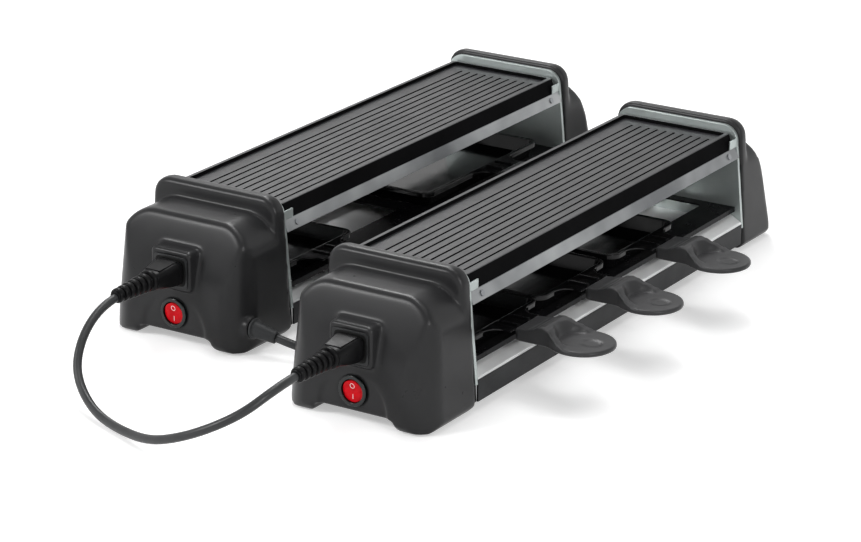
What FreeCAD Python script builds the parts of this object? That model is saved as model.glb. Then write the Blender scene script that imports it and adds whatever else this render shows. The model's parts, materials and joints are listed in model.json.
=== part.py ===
"""Table raclette grill: two narrow units on one supply, joined by a link lead.

Every unit lies along Y, with its control housing at the low end and its pans pulled towards +X.
The front unit stands at +X. All lengths are millimetres, +Z is up and the feet stand on z = 0.
"""
import FreeCAD, Part
import math
import os

import Sketcher
from FreeCAD import Placement, Rotation, Vector

SIZES = (
    ("bay_length", 408.0, "between the inner faces of the two steel end plates"),
    ("rear_shift_x", -196.8, "rear unit against the front unit, across"),
    ("rear_shift_y", 57.4, "rear unit against the front unit, along"),
    ("seat_gap", 0.3, "clearance between a loose piece and its seat"),
    ("plate_inset", 2.8, "steel end plate, how far its top stands in from the housing's sides"),
    ("plate_foot_inset", 0.85, "steel end plate, how far its foot stands in from the housing's sides"),
    ("plate_drop", 3.2, "steel end plate, top edge below the housing's rim"),
    ("plate_foot", 20.5, "steel end plate, bottom edge height"),
    ("plate_depth", 3.0, "steel end plate, depth of its turned edge"),
    ("plate_sheet", 1.0, "steel end plate, sheet thickness"),
    ("plate_round", 13.0, "steel end plate, radius of the top corners"),
    ("case_top_half", 56.0, "housing, half width at the top"),
    ("case_foot_half", 62.6, "housing, half width at the feet"),
    ("case_top", 108.0, "housing, height of the rim"),
    ("case_foot", 1.2, "housing, height of its lowest edge"),
    ("case_bevel", 5.0, "housing, bevel along its lowest edges"),
    ("case_step", 3.5, "housing, offset of the inner line of its lower bevel"),
    ("case_round", 14.0, "housing, radius of the rim's top corners"),
    ("case_wall", 2.6, "housing, wall thickness"),
    ("rim_depth", 12.0, "housing, depth of the rim band"),
    ("rim_edge", 4.5, "housing, rounding of the rim's outer edge"),
    ("dome_drop", 13.0, "housing, top of the body below the rim"),
    ("dome_round", 27.0, "housing, radius of the body's top corners"),
    ("dome_edge", 6.0, "housing, rounding of the body's outer edge"),
    ("near_depth", 68.0, "control housing, depth at its foot"),
    ("near_slope", 20.0, "control housing, how far its face leans in up to the shoulder"),
    ("far_depth", 57.0, "far housing, depth at its foot"),
    ("far_slope", 41.5, "far housing, how far its face leans in up to the shoulder"),
    ("face_foot", 20.0, "housing, height where the bulging face turns upright"),
    ("face_bulge", 190.0, "control housing, radius of the bulging face"),
    ("far_face_foot", 12.0, "far housing, height where the bulging face turns upright"),
    ("far_bulge", 158.0, "far housing, radius of the bulging face"),
    ("near_corner", 26.0, "control housing, radius of its upright corners at the foot"),
    ("near_corner_high", 19.8, "control housing, radius of its upright corners carried up to the top"),
    ("near_corner_lean", 10.0, "control housing, how far its upright corners lean in"),
    ("far_corner", 12.0, "far housing, radius of its upright corners at the foot"),
    ("far_corner_high", 10.0, "far housing, radius of its upright corners carried up to the top"),
    ("far_corner_lean", 21.0, "far housing, how far its upright corners lean in"),
    ("arch_half", 33.0, "half width of the cut-out between the feet"),
    ("arch_height", 8.5, "height of the cut-out between the feet"),
    ("arch_bevel", 3.0, "bevel of the feet towards the cut-out"),
    ("boss_half", 18.0, "connector boss, half width"),
    ("boss_below", 14.6, "connector boss, lower edge below the connector's axis"),
    ("boss_above", 16.4, "connector boss, upper edge above the connector's axis"),
    ("boss_stand", 2.5, "connector boss, how far it stands proud of the foot of the face"),
    ("boss_round", 3.0, "connector boss, radius of its corners"),
    ("boss_edge", 1.4, "connector boss, rounding of its outer edge"),
    ("pad_radius", 29.0, "arched switch pad, radius"),
    ("pad_height", 10.0, "arched switch pad, height of its centre"),
    ("pad_sink", 1.8, "arched switch pad, how far it is sunk into the face"),
    ("inlet_half", 15.0, "connector frame, half width"),
    ("inlet_flange", 1.5, "connector frame, thickness"),
    ("inlet_height", 58.6, "connector, height of its axis"),
    ("inlet_half_height", 12.0, "connector frame, half height"),
    ("inlet_body_half", 13.3, "connector body, half width"),
    ("inlet_body_half_height", 9.8, "connector body, half height"),
    ("inlet_depth", 20.0, "connector body, depth behind its frame"),
    ("shroud_half", 12.3, "connector recess, half width"),
    ("shroud_half_height", 8.4, "connector recess, half height"),
    ("shroud_depth", 16.5, "connector recess, depth"),
    ("switch_height", 24.5, "switch, height of its axis"),
    ("switch_bezel_radius", 11.5, "switch bezel, radius"),
    ("switch_body_radius", 9.6, "switch barrel, radius"),
    ("switch_bezel_depth", 2.2, "switch bezel, how far it stands proud"),
    ("switch_sink", 1.7, "switch rocker, its hinge below the pad's face"),
    ("rocker_radius", 8.3, "switch rocker, radius"),
    ("grill_lean", 3.6, "grill plate, how far its skirt leans in"),
    ("grill_play", 0.6, "grill plate, play to the rails and the end plates"),
    ("grill_drop", 8.7, "grill plate, top edge below the housing's rim"),
    ("grill_height", 11.5, "grill plate, height of its skirt"),
    ("grill_basin", 2.9, "grill plate, depth of the cooking surface below the rim"),
    ("grill_thickness", 4.0, "grill plate, thickness of the floor"),
    ("grill_wall", 3.0, "grill plate, wall of the skirt"),
    ("grill_rim", 3.6, "grill plate, width of its raised rim"),
    ("groove_pitch", 7.7, "grill plate, distance between grooves"),
    ("groove_width", 1.8, "grill plate, width of a groove"),
    ("groove_depth", 1.0, "grill plate, depth of a groove"),
    ("groove_count", 10, "grill plate, number of grooves"),
    ("groove_first", -31.0, "grill plate, place of the first groove across"),
    ("groove_margin", 17.0, "grill plate, plain margin at both ends"),
    ("rail_stand", 0.4, "side rail, how far its top stands out from the end plate's"),
    ("rail_flare", 3.4, "side rail, how far it leans out"),
    ("rail_height", 8.6, "side rail, height of its outer wall"),
    ("rail_sheet", 1.2, "side rail, sheet thickness"),
    ("rail_ledge", 9.0, "side rail, width of the ledge under the grill plate"),
    ("heater_gap", 0.4, "heating element, gap under the grill plate's skirt"),
    ("heater_radius", 3.25, "heating element, radius"),
    ("heater_pitch", 22.0, "heating element, distance between its runs"),
    ("heater_margin", 26.0, "heating element, distance of its bends from the plates"),
    ("strap_width", 10.0, "element strap, width"),
    ("strap_sheet", 1.0, "element strap, thickness"),
    ("shelf_inset", 7.4, "pan shelf, how far it stands in from the housing's sides"),
    ("shelf_top", 37.7, "pan shelf, height of its upper face"),
    ("shelf_sheet", 1.2, "pan shelf, sheet thickness"),
    ("shelf_lip", 4.0, "pan shelf, depth of its turned-down edges"),
    ("window_half", 30.0, "pan shelf, half width of a window"),
    ("window_bar", 20.0, "pan shelf, width of the bar between two windows"),
    ("window_round", 4.0, "pan shelf, corner radius of a window"),
    ("tray_top", 24.9, "reflector tray, height of its upper face"),
    ("tray_inset", 0.5, "reflector tray, how far it stands in from the base channel's sides"),
    ("tray_sheet", 1.0, "reflector tray, sheet thickness"),
    ("base_inset", 0.7, "base channel, how far it stands in from the housing's sides"),
    ("base_foot", 7.3, "base channel, height of its lower edge"),
    ("base_sheet", 1.4, "base channel, sheet thickness"),
    ("pan_half", 48.0, "pan, half width across the unit at the rim"),
    ("pan_gap", 2.0, "small pan, gap to the next place"),
    ("wide_gap", 28.0, "double pan, what it leaves free of two places"),
    ("pan_centre", 2.0, "pan, place of its centre across the unit"),
    ("pan_height", 12.0, "pan, height"),
    ("pan_sheet", 1.0, "pan, sheet thickness"),
    ("pan_rim", 2.4, "pan, width of its turned rim"),
    ("pan_round", 5.0, "pan, corner radius"),
    ("neck_half", 19.6, "pan neck, half width"),
    ("neck_round", 12.0, "pan neck, radius where it leaves the pan"),
    ("neck_length", 17.0, "pan neck, length from the pan to the grip"),
    ("tongue_length", 9.0, "pan neck, length inside the grip"),
    ("tongue_half", 13.0, "pan neck, half width inside the grip"),
    ("rib_across", 7.5, "pan neck, place of a rib off its middle"),
    ("rib_half", 1.3, "pan neck, half width of a rib"),
    ("rib_half_length", 8.6, "pan neck, half length of a rib"),
    ("rib_height", 0.9, "pan neck, height of a rib"),
    ("grip_length", 71.0, "grip, length"),
    ("grip_below", 7.7, "grip, underside below the pan's rim"),
    ("grip_block_half", 16.4, "grip, half width at the block"),
    ("grip_block_rise", 1.2, "grip, inner end above the pan's rim"),
    ("grip_crest_rise", 5.2, "grip, crest of the hood above the pan's rim"),
    ("grip_notch", 14.0, "grip, rounding between block and paddle"),
    ("grip_corner", 3.0, "grip, rounding of its inner corners"),
    ("grip_edge", 1.6, "grip, rounding of its lower edge"),
    ("paddle_radius", 24.0, "grip, radius of the paddle"),
    ("paddle_drop", 2.8, "grip, top of the paddle below the pan's rim"),
    ("hollow_radius", 17.5, "grip, radius of the thumb hollow"),
    ("hollow_reach", 33.0, "grip, thumb hollow from the tip"),
    ("hollow_depth", 1.4, "grip, depth of the thumb hollow"),
    ("foot_radius", 6.0, "rubber foot, radius"),
    ("foot_inset", 15.6, "rubber foot, place in from the housing's side"),
    ("near_foot_inset", 16.0, "rubber foot, place in from the control housing's face"),
    ("far_foot_inset", 19.0, "rubber foot, place in from the far housing's face"),
    ("foot_height", 2.7, "rubber foot, height of its disc"),
    ("stem_radius", 2.2, "rubber foot, radius of its stem"),
    ("plate_screw_across", 24.0, "upper case screw, place across"),
    ("plate_screw_height", 76.0, "upper case screw, height"),
    ("cover_screw_inset", 7.6, "lower case screw, place in from the housing's side"),
    ("cover_screw_height", 8.4, "lower case screw, height"),
    ("rail_screw_place", 14.5, "rail screw, distance from the end plates"),
    ("tab_length", 11.0, "steel end plate, length of the tabs over the rails"),
    ("screw_radius", 1.9, "screw, radius"),
    ("relief_reach", 53.0, "strain relief of the mains lead, distance from the bay"),
    ("relief_height", 20.7, "strain relief of the mains lead, height"),
    ("relief_seat", 62.4, "strain relief of the mains lead, place of its seat across"),
    ("relief_radius", 6.0, "strain relief of the mains lead, radius of its neck"),
    ("lead_radius", 3.25, "leads, radius"),
)

doc = FreeCAD.newDocument("raclette_grill")
sheet = doc.addObject("Spreadsheet::Sheet", "Sizes")


class Size:
    """A length with the sheet expression that gives it."""

    def __init__(self, value, text):
        self.value = float(value)
        self.text = text

    def __add__(self, other):
        return combine(self, "+", other)

    def __radd__(self, other):
        return combine(other, "+", self)

    def __sub__(self, other):
        return combine(self, "-", other)

    def __rsub__(self, other):
        return combine(other, "-", self)

    def __mul__(self, other):
        return combine(self, "*", other)

    def __rmul__(self, other):
        return combine(other, "*", self)

    def __truediv__(self, other):
        return combine(self, "/", other)

    def __neg__(self):
        return combine(-1.0, "*", self)

    def __float__(self):
        return self.value


def as_size(item):
    """The item as a Size: plain numbers keep their own text."""
    if isinstance(item, Size):
        return item
    return Size(item, "(%s)" % repr(float(item)))


def combine(left, sign, right):
    """One arithmetic step on values and on expression texts alike."""
    left = as_size(left)
    right = as_size(right)
    results = {
        "+": lambda: left.value + right.value,
        "-": lambda: left.value - right.value,
        "*": lambda: left.value * right.value,
        "/": lambda: left.value / right.value,
    }
    return Size(results[sign](), "(%s %s %s)" % (left.text, sign, right.text))


def root(item):
    """Square root of a size."""
    return Size(math.sqrt(float(item)), "sqrt(%s)" % item.text)


class Sheet:
    """The driving sizes by name."""


s = Sheet()
for row, (word, number, meaning) in enumerate(SIZES, 1):
    sheet.set("A%d" % row, word)
    sheet.set("B%d" % row, repr(number))
    sheet.set("C%d" % row, meaning)
    sheet.setAlias("B%d" % row, word)
    setattr(s, word, Size(number, "Sizes.%s" % word))
doc.recompute()

# Lengths that follow from the driving ones.
s.plate_top_half = s.case_top_half - s.plate_inset
s.plate_foot_half = s.case_foot_half - s.plate_foot_inset
s.plate_top = s.case_top - s.plate_drop
s.dome_top = s.case_top - s.dome_drop
s.near_shoulder = s.near_depth - s.near_slope
s.far_shoulder = s.far_depth - s.far_slope
s.boss_low = s.inlet_height - s.boss_below
s.boss_high = s.inlet_height + s.boss_above
s.boss_face = s.near_depth + s.boss_stand
s.pad_face = s.near_depth - s.pad_sink
s.switch_hinge = s.pad_face - s.switch_sink
s.grill_top = s.case_top - s.grill_drop
s.grill_skirt = s.grill_top - s.grill_height
s.grill_floor = s.grill_top - s.grill_basin
s.rail_top_half = s.plate_top_half + s.rail_stand
s.rail_foot_half = s.rail_top_half + s.rail_flare
s.rail_foot = s.grill_skirt - s.rail_height
s.grill_skirt_half = s.rail_top_half - s.grill_play
s.grill_half = s.grill_skirt_half - s.grill_lean
s.heater_height = s.grill_skirt - s.heater_gap - s.heater_radius
s.shelf_half = s.case_foot_half - s.shelf_inset
s.base_half = s.case_foot_half - s.base_inset
s.tray_half = s.base_half - s.tray_inset
s.place_pitch = s.bay_length / 4.0
s.window_length = s.place_pitch - s.window_bar
s.pan_half_length = (s.place_pitch - s.pan_gap) / 2.0
s.wide_half_length = s.place_pitch - s.wide_gap / 2.0
s.pan_rim_height = s.shelf_top + s.seat_gap + s.pan_height
s.grip_start = s.pan_centre + s.pan_half + s.neck_length
s.neck_end = s.grip_start + s.tongue_length
s.grip_end = s.grip_start + s.grip_length
s.grip_foot = s.pan_rim_height - s.grip_below
s.grip_block_top = s.pan_rim_height + s.grip_block_rise
s.grip_crest = s.pan_rim_height + s.grip_crest_rise
s.grip_paddle_top = s.pan_rim_height - s.paddle_drop
s.hollow_centre = s.grip_end - s.hollow_reach
s.foot_across = s.case_foot_half - s.foot_inset
s.near_foot_reach = s.near_depth - s.near_foot_inset
s.far_foot_reach = s.far_depth - s.far_foot_inset

# Sketch planes: the body's own plane, whether its normal runs along the positive axis, and
# the placement offset that lifts a sketch from it.
PLANES = {"XY": ("XY_Plane", 1.0), "XZ": ("XZ_Plane", -1.0), "YZ": ("YZ_Plane", 1.0)}
NODES = []


def bind(item, name, length):
    """Ties a property to the sheet."""
    item.setExpression(name, as_size(length).text)


def new_body(label, unit):
    """A body of its own at its unit's origin. It may hold several solids."""
    body = doc.addObject("PartDesign::Body", label)
    body.Label = label
    body.AllowCompound = True
    bind(body, "Placement.Base.x", unit.x)
    bind(body, "Placement.Base.y", unit.y)
    NODES.append(body)
    return body


def origin_feature(body, role):
    return [item for item in body.Origin.OriginFeatures if item.Role == role][0]


def sketch(body, plane, corners, start):
    """A closed outline. A corner is (a, b), or (a, b, r) where an arc of radius r leads on.

    A positive radius bends to the left of the way from corner to corner.
    """
    role, normal = PLANES[plane]
    outline = body.newObject("Sketcher::SketchObject", "Outline")
    outline.AttachmentSupport = [(origin_feature(body, role), "")]
    outline.MapMode = "FlatFace"
    bind(outline, "AttachmentOffset.Base.z", as_size(start) * normal)
    count = len(corners)
    spots = [Vector(float(corner[0]), float(corner[1]), 0) for corner in corners]
    for index, corner in enumerate(corners):
        first = spots[index]
        last = spots[(index + 1) % count]
        if len(corner) == 2:
            outline.addGeometry(Part.LineSegment(first, last), False)
            continue
        radius = float(corner[2])
        chord = last - first
        side = Vector(-chord.y, chord.x, 0).normalize()
        reach = math.sqrt(radius ** 2 - (chord.Length / 2) ** 2)
        turn = 1.0 if radius > 0 else -1.0
        centre = first + chord * 0.5 + side * (turn * reach)
        begin, finish = (first, last) if turn > 0 else (last, first)
        angles = [math.atan2(spot.y - centre.y, spot.x - centre.x) for spot in (begin, finish)]
        circle = Part.Circle(centre, Vector(0, 0, 1), abs(radius))
        outline.addGeometry(Part.ArcOfCircle(circle, angles[0], angles[1]), False)
    ends = []
    for index, corner in enumerate(corners):
        forward = outline.Geometry[index].StartPoint.distanceToPoint(spots[index]) < 1e-6
        ends.append((1, 2) if forward else (2, 1))
    for index, corner in enumerate(corners):
        following = (index + 1) % count
        outline.addConstraint(
            Sketcher.Constraint("Coincident", index, ends[index][1], following, ends[following][0])
        )
    for index, corner in enumerate(corners):
        for kind, length in (("DistanceX", corner[0]), ("DistanceY", corner[1])):
            number = outline.addConstraint(
                Sketcher.Constraint(kind, index, ends[index][0], float(length))
            )
            bind(outline, "Constraints[%d]" % number, length)
        if len(corner) == 3:
            number = outline.addConstraint(
                Sketcher.Constraint("Radius", index, abs(float(corner[2])))
            )
            bind(outline, "Constraints[%d]" % number, corner[2] if float(corner[2]) > 0 else -corner[2])
    return outline


def round_sketch(body, plane, circles, start):
    """Circles, each (a, b, radius)."""
    role, normal = PLANES[plane]
    outline = body.newObject("Sketcher::SketchObject", "Circles")
    outline.AttachmentSupport = [(origin_feature(body, role), "")]
    outline.MapMode = "FlatFace"
    bind(outline, "AttachmentOffset.Base.z", as_size(start) * normal)
    for index, (across, up, radius) in enumerate(circles):
        centre = Vector(float(across), float(up), 0)
        outline.addGeometry(Part.Circle(centre, Vector(0, 0, 1), float(radius)), False)
        for kind, length in (("DistanceX", across), ("DistanceY", up)):
            number = outline.addConstraint(Sketcher.Constraint(kind, index, 3, float(length)))
            bind(outline, "Constraints[%d]" % number, length)
        number = outline.addConstraint(Sketcher.Constraint("Radius", index, float(radius)))
        bind(outline, "Constraints[%d]" % number, radius)
    return outline


def raise_sketch(body, outline, plane, length, taper=0.0):
    """A pad of the outline along the positive axis."""
    feature = body.newObject("PartDesign::Pad", "Pad")
    feature.Profile = outline
    bind(feature, "Length", length)
    feature.Reversed = PLANES[plane][1] < 0
    feature.TaperAngle = taper
    body.Tip = feature
    doc.recompute()
    return feature


def sink_sketch(body, outline, plane, length, taper=0.0):
    """A pocket of the outline along the positive axis, which has to take something away."""
    before = body.Shape.Volume
    feature = body.newObject("PartDesign::Pocket", "Pocket")
    feature.Profile = outline
    bind(feature, "Length", length)
    feature.Reversed = PLANES[plane][1] > 0
    feature.TaperAngle = taper
    body.Tip = feature
    doc.recompute()
    if body.Shape.Volume > before - 1e-6:
        raise RuntimeError("a pocket in %s cuts nothing" % body.Label)
    return feature


def pad(body, plane, corners, start, length, taper=0.0):
    return raise_sketch(body, sketch(body, plane, corners, start), plane, length, taper)


def pocket(body, plane, corners, start, length, taper=0.0):
    return sink_sketch(body, sketch(body, plane, corners, start), plane, length, taper)


def disc(body, plane, circles, start, length):
    return raise_sketch(body, round_sketch(body, plane, circles, start), plane, length)


def bore(body, plane, circles, start, length):
    return sink_sketch(body, round_sketch(body, plane, circles, start), plane, length)


def rectangle(low_a, high_a, low_b, high_b):
    return [(low_a, low_b), (high_a, low_b), (high_a, high_b), (low_a, high_b)]


def rounded_rectangle(a, b, half_a, half_b, radius):
    """A rectangle about (a, b) with rounded corners."""
    return [
        (a - half_a + radius, b - half_b),
        (a + half_a - radius, b - half_b, radius),
        (a + half_a, b - half_b + radius),
        (a + half_a, b + half_b - radius, radius),
        (a + half_a - radius, b + half_b),
        (a - half_a + radius, b + half_b, radius),
        (a - half_a, b + half_b - radius),
        (a - half_a, b - half_b + radius, radius),
    ]


def mirrored_outline(half):
    """An outline from its right-hand half, given from bottom to top, mirrored about a = 0."""
    outline = list(half)
    for index in range(len(half) - 1, -1, -1):
        corner = (-half[index][0], half[index][1])
        if index and len(half[index - 1]) == 3:
            corner += (half[index - 1][2],)
        outline.append(corner)
    return outline


def rounded_top(foot, top, radius):
    """A side from its foot to a rounded top corner, right half."""
    lean = math.atan2(float(foot[0]) - float(top[0]), float(top[1]) - float(foot[1]))
    reach = math.tan((math.pi / 2 - lean) / 2)
    return [
        foot,
        (
            top[0] + radius * (reach * math.sin(lean)),
            top[1] - radius * (reach * math.cos(lean)),
            radius,
        ),
        (top[0] - radius * reach, top[1]),
    ]


def edge_names(body, wanted):
    """Names of the edges of the body's shape that the test accepts."""
    shape = body.Tip.Shape
    return ["Edge%d" % (index + 1) for index, edge in enumerate(shape.Edges) if wanted(edge)]


def round_edges(body, radius, wanted):
    """A fillet on the edges that the test accepts."""
    names = edge_names(body, wanted)
    if not names:
        raise RuntimeError("no edge to round on %s" % body.Label)
    base = body.Tip
    feature = body.newObject("PartDesign::Fillet", "Fillet")
    feature.Base = (base, names)
    bind(feature, "Radius", radius)
    body.Tip = feature
    doc.recompute()
    if "Invalid" in feature.State or feature.Shape.isNull():
        raise RuntimeError("a fillet on %s failed" % body.Label)
    return feature


def repeat(body, feature, axis, length, count):
    """A row of copies of a feature along an axis."""
    pattern = body.newObject("PartDesign::LinearPattern", "Row")
    pattern.Originals = [feature]
    pattern.Direction = (origin_feature(body, axis), [""])
    bind(pattern, "Length", length)
    bind(pattern, "Occurrences", count)
    body.Tip = pattern
    doc.recompute()
    return pattern


def runs_along(edge, axis):
    """Whether an edge is a straight one along the axis, given as a vector."""
    if len(edge.Vertexes) != 2:
        return False
    way = edge.Vertexes[1].Point - edge.Vertexes[0].Point
    return way.Length > 1e-6 and way.normalize().cross(axis).Length < 1e-3


X_AXIS = Vector(1, 0, 0)
Y_AXIS = Vector(0, 1, 0)
Z_AXIS = Vector(0, 0, 1)


class Unit:
    """One of the two units: its name and the place of its origin."""

    def __init__(self, name, x, y):
        self.name = name
        self.x = as_size(x)
        self.y = as_size(y)

    def label(self, words):
        return "%s_%s" % (self.name, words)


CLEAR = 20.0
ACROSS = 80.0


def case_half(height):
    """Half width of a housing at a height."""
    slope = (s.case_foot_half - s.case_top_half) / (s.case_top - s.case_foot - s.case_bevel)
    return s.case_foot_half - (height - s.case_foot - s.case_bevel) * slope


class End:
    """One end of a unit. Distances are measured away from the bay."""

    def __init__(self, base, way):
        self.base = as_size(base)
        self.way = way

    def at(self, distance):
        return self.base + self.way * as_size(distance)

    def span(self, inner, outer):
        """Start and length, along +Y, of what lies between two distances."""
        start = self.at(inner) if self.way > 0 else self.at(outer)
        return start, as_size(outer) - as_size(inner)


NEAR = End(0.0, -1)
FAR = End(s.bay_length, 1)
PLATE_SCREWS = tuple((side * s.plate_screw_across, s.plate_screw_height) for side in (1.0, -1.0))
COVER_SCREWS = tuple(
    (side * (s.case_foot_half - s.cover_screw_inset), s.cover_screw_height) for side in (1.0, -1.0)
)


def housing(unit, end, words, depth, shoulder, face_foot, bulge, corner, steps):
    """The shell of a housing: rim band, domed body with a bulging face, feet, hollow inside.

    The corner gives the upright corners' radius at the foot, at the top and their lean. The steps
    give the hollow as its ceiling height, its depth and how far its sides are set in.
    """
    body = new_body(unit.label(words), unit)
    base = (s.case_foot_half - s.case_bevel, s.case_foot)
    foot = (s.case_foot_half, s.case_foot + s.case_bevel)
    seat = s.plate_depth
    rim = [base] + rounded_top(foot, (s.case_top_half, s.case_top), s.case_round)
    pad(body, "XZ", mirrored_outline(rim), *end.span(seat, seat + s.rim_depth))
    outer = float(end.at(seat + s.rim_depth))
    band_foot = float(s.case_foot + s.case_bevel)
    round_edges(
        body,
        s.rim_edge,
        lambda e: lies_at_y(e, outer) and e.BoundBox.ZMax > band_foot + 1,
    )
    dome = [base] + rounded_top(foot, (case_half(s.dome_top), s.dome_top), s.dome_round)
    pad(body, "XZ", mirrored_outline(dome), *end.span(seat, depth))
    face = [
        (end.at(shoulder), s.dome_top, bulge * float(-end.way)),
        (end.at(depth), face_foot),
        (end.at(depth), s.case_foot + s.case_bevel),
        (end.at(depth - s.case_step), s.case_foot),
        (end.at(depth - s.case_step), -CLEAR),
        (end.at(depth + CLEAR), -CLEAR),
        (end.at(depth + CLEAR), s.dome_top),
    ]
    pocket(body, "YZ", face, -ACROSS, 2 * ACROSS)
    if end is NEAR:
        round_face(body, bulge, face_foot)
    for side in (1.0, -1.0):
        round_corner(body, end, side, depth, face_foot, corner)
    if end is NEAR:
        boss = rounded_rectangle(
            0.0,
            (s.boss_low + s.boss_high) / 2.0,
            s.boss_half,
            (s.boss_high - s.boss_low) / 2.0,
            s.boss_round,
        )
        pad(body, "XZ", boss, *end.span(s.near_shoulder, s.boss_face))
        front = float(end.at(s.boss_face))
        round_edges(body, s.boss_edge, lambda e: lies_at_y(e, front))
        bore(body, "XZ", [(0.0, s.pad_height, s.pad_radius)], *end.span(s.pad_face, s.near_depth + 1.0))
    arch = mirrored_outline(
        [
            (s.arch_half + s.arch_bevel, -CLEAR),
            (s.arch_half + s.arch_bevel, s.case_foot),
            (s.arch_half, s.case_foot + s.arch_bevel),
            (s.arch_half, s.arch_height),
        ]
    )
    pocket(body, "XZ", arch, *end.span(0.0, depth + CLEAR))
    wall = s.case_wall
    inner = 0.0
    for ceiling, reach, inset in steps:
        spare = float(s.dome_top - wall) - float(ceiling)
        turn = max(float(s.dome_round - wall) - spare, 3.0)
        hollow = [
            (s.arch_half + wall, s.arch_height + wall),
            (s.arch_half + wall, s.case_foot + wall),
            (s.case_foot_half - wall - s.case_step - inset, s.case_foot + wall),
        ] + rounded_top(
            (s.case_foot_half - wall - inset, s.case_foot + wall + s.case_step),
            (case_half(ceiling) - wall - inset, ceiling),
            turn,
        )
        pocket(body, "XZ", mirrored_outline(hollow), *end.span(inner, reach))
        inner = reach
    posts = [(x, z, 4.5) for x, z in PLATE_SCREWS]
    disc(body, "XZ", posts, *end.span(s.plate_sheet, steps[0][1] + 1.0))
    posts = [(x, z, 5.0) for x, z in COVER_SCREWS]
    disc(body, "XZ", posts, *end.span(seat, seat + 16.0))
    holes = [(x, z, s.screw_radius) for x, z in PLATE_SCREWS + COVER_SCREWS]
    bore(body, "XZ", holes, *end.span(s.plate_sheet, 16.0))
    return body


def round_corner(body, end, side, depth, face_foot, corner):
    """Cuts an upright corner round. It stands straight up to the face's foot and leans in above."""
    over = 0.5
    spare = 2.0
    low, high, lean = corner
    steepness = (s.case_foot_half - s.case_top_half) / (s.case_top - s.case_foot - s.case_bevel)
    heights = (as_size(0.0), face_foot, s.dome_top + spare)
    radii = (low, low, high)
    leans = (as_size(0.0), as_size(0.0), lean)
    outlines = []
    for height, radius, back in zip(heights, radii, leans):
        edge = s.case_foot_half + over - (height - s.case_foot - s.case_bevel) * steepness
        reach = depth + over - back
        outline = [
            (side * edge, end.at(reach - radius), radius * (side * end.way)),
            (side * (edge - radius), end.at(reach)),
            (side * (edge - radius), end.at(depth + spare)),
            (side * (edge + spare), end.at(depth + spare)),
            (side * (edge + spare), end.at(reach - radius)),
        ]
        outlines.append(sketch(body, "XY", outline, height))
    before = body.Shape.Volume
    feature = body.newObject("PartDesign::SubtractiveLoft", "Corner")
    feature.Profile = outlines[0]
    feature.Sections = outlines[1:]
    feature.Ruled = True
    body.Tip = feature
    doc.recompute()
    if "Invalid" in feature.State or body.Shape.Volume > before - 1e-6:
        raise RuntimeError("a corner of %s is not cut" % body.Label)


def round_face(body, bulge, foot):
    """Rounds the edges round the bulging face of a housing."""
    around = []
    for side in body.Tip.Shape.Faces:
        surface = side.Surface
        if isinstance(surface, Part.Cylinder) and abs(surface.Radius - float(bulge)) < 1e-3:
            around += side.Edges
    low = float(foot)
    round_edges(
        body,
        s.dome_edge,
        lambda e: e.BoundBox.ZMax > low + 1 and any(e.isSame(other) for other in around),
    )


def lies_at_y(edge, place):
    """Whether an edge lies wholly in the plane y = place."""
    box = edge.BoundBox
    return abs(box.YMin - place) < 1e-3 and abs(box.YMax - place) < 1e-3


def foot_seats(body, spots):
    """Recesses and stem holes for the rubber feet."""
    seats = [(x, y, s.foot_radius + s.seat_gap) for x, y in spots]
    bore(body, "XY", seats, -CLEAR, CLEAR + s.foot_height)
    stems = [(x, y, s.stem_radius + s.seat_gap) for x, y in spots]
    bore(body, "XY", stems, 2.0, 3.0)


def end_plate(unit, end, words, holes):
    """A dished steel end plate with a small tab over each rail."""
    body = new_body(unit.label(words), unit)
    foot = (s.plate_foot_half, s.plate_foot)
    top = (s.plate_top_half, s.plate_top)
    pad(body, "XZ", mirrored_outline(rounded_top(foot, top, s.plate_round)), *end.span(0.0, s.plate_depth))
    sheet_edge = s.plate_sheet
    inner_foot = (foot[0] - sheet_edge, foot[1] + sheet_edge)
    inner_top = (top[0] - sheet_edge, top[1] - sheet_edge)
    dish = mirrored_outline(rounded_top(inner_foot, inner_top, s.plate_round - sheet_edge))
    pocket(body, "XZ", dish, *end.span(sheet_edge, s.plate_depth + CLEAR))
    inner = s.rail_top_half - 0.4
    for side in (1.0, -1.0):
        tab = rectangle(inner * side, (inner + 1.0) * side, s.grill_skirt + s.seat_gap, s.grill_top - 4.3)
        pad(body, "XZ", tab, *end.span(-s.tab_length, sheet_edge))
    bore(body, "XZ", holes, *end.span(-1.0, 2.0))
    return body


def base_cover(unit, end, words):
    """The plate that closes the foot of a housing towards the bay."""
    body = new_body(unit.label(words), unit)
    edge = s.case_foot_half - 2.2
    low = s.case_foot + 1.0
    half = [(edge - s.case_bevel, low), (edge, low + s.case_bevel), (edge - 0.6, s.plate_foot - s.seat_gap)]
    pad(body, "XZ", mirrored_outline(half), *end.span(0.0, s.plate_depth))
    holes = [(x, z, s.screw_radius) for x, z in COVER_SCREWS]
    bore(body, "XZ", holes, *end.span(-1.0, s.plate_depth + 1.0))
    return body


def screws(unit):
    """The screws that hold plates and covers to the housings, one group."""
    body = new_body(unit.label("case_screws"), unit)
    for end in (NEAR, FAR):
        spots = PLATE_SCREWS + COVER_SCREWS
        disc(body, "XZ", [(x, z, 3.4) for x, z in spots], *end.span(-1.6, 0.0))
        disc(body, "XZ", [(x, z, s.screw_radius - 0.3) for x, z in spots], *end.span(0.0, 14.0))
        slots = [rectangle(x - 2.4, x + 2.4, z - 0.4, z + 0.4) for x, z in spots]
        for slot in slots:
            pocket(body, "XZ", slot, *end.span(-2.6, -0.8))
    return body


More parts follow.
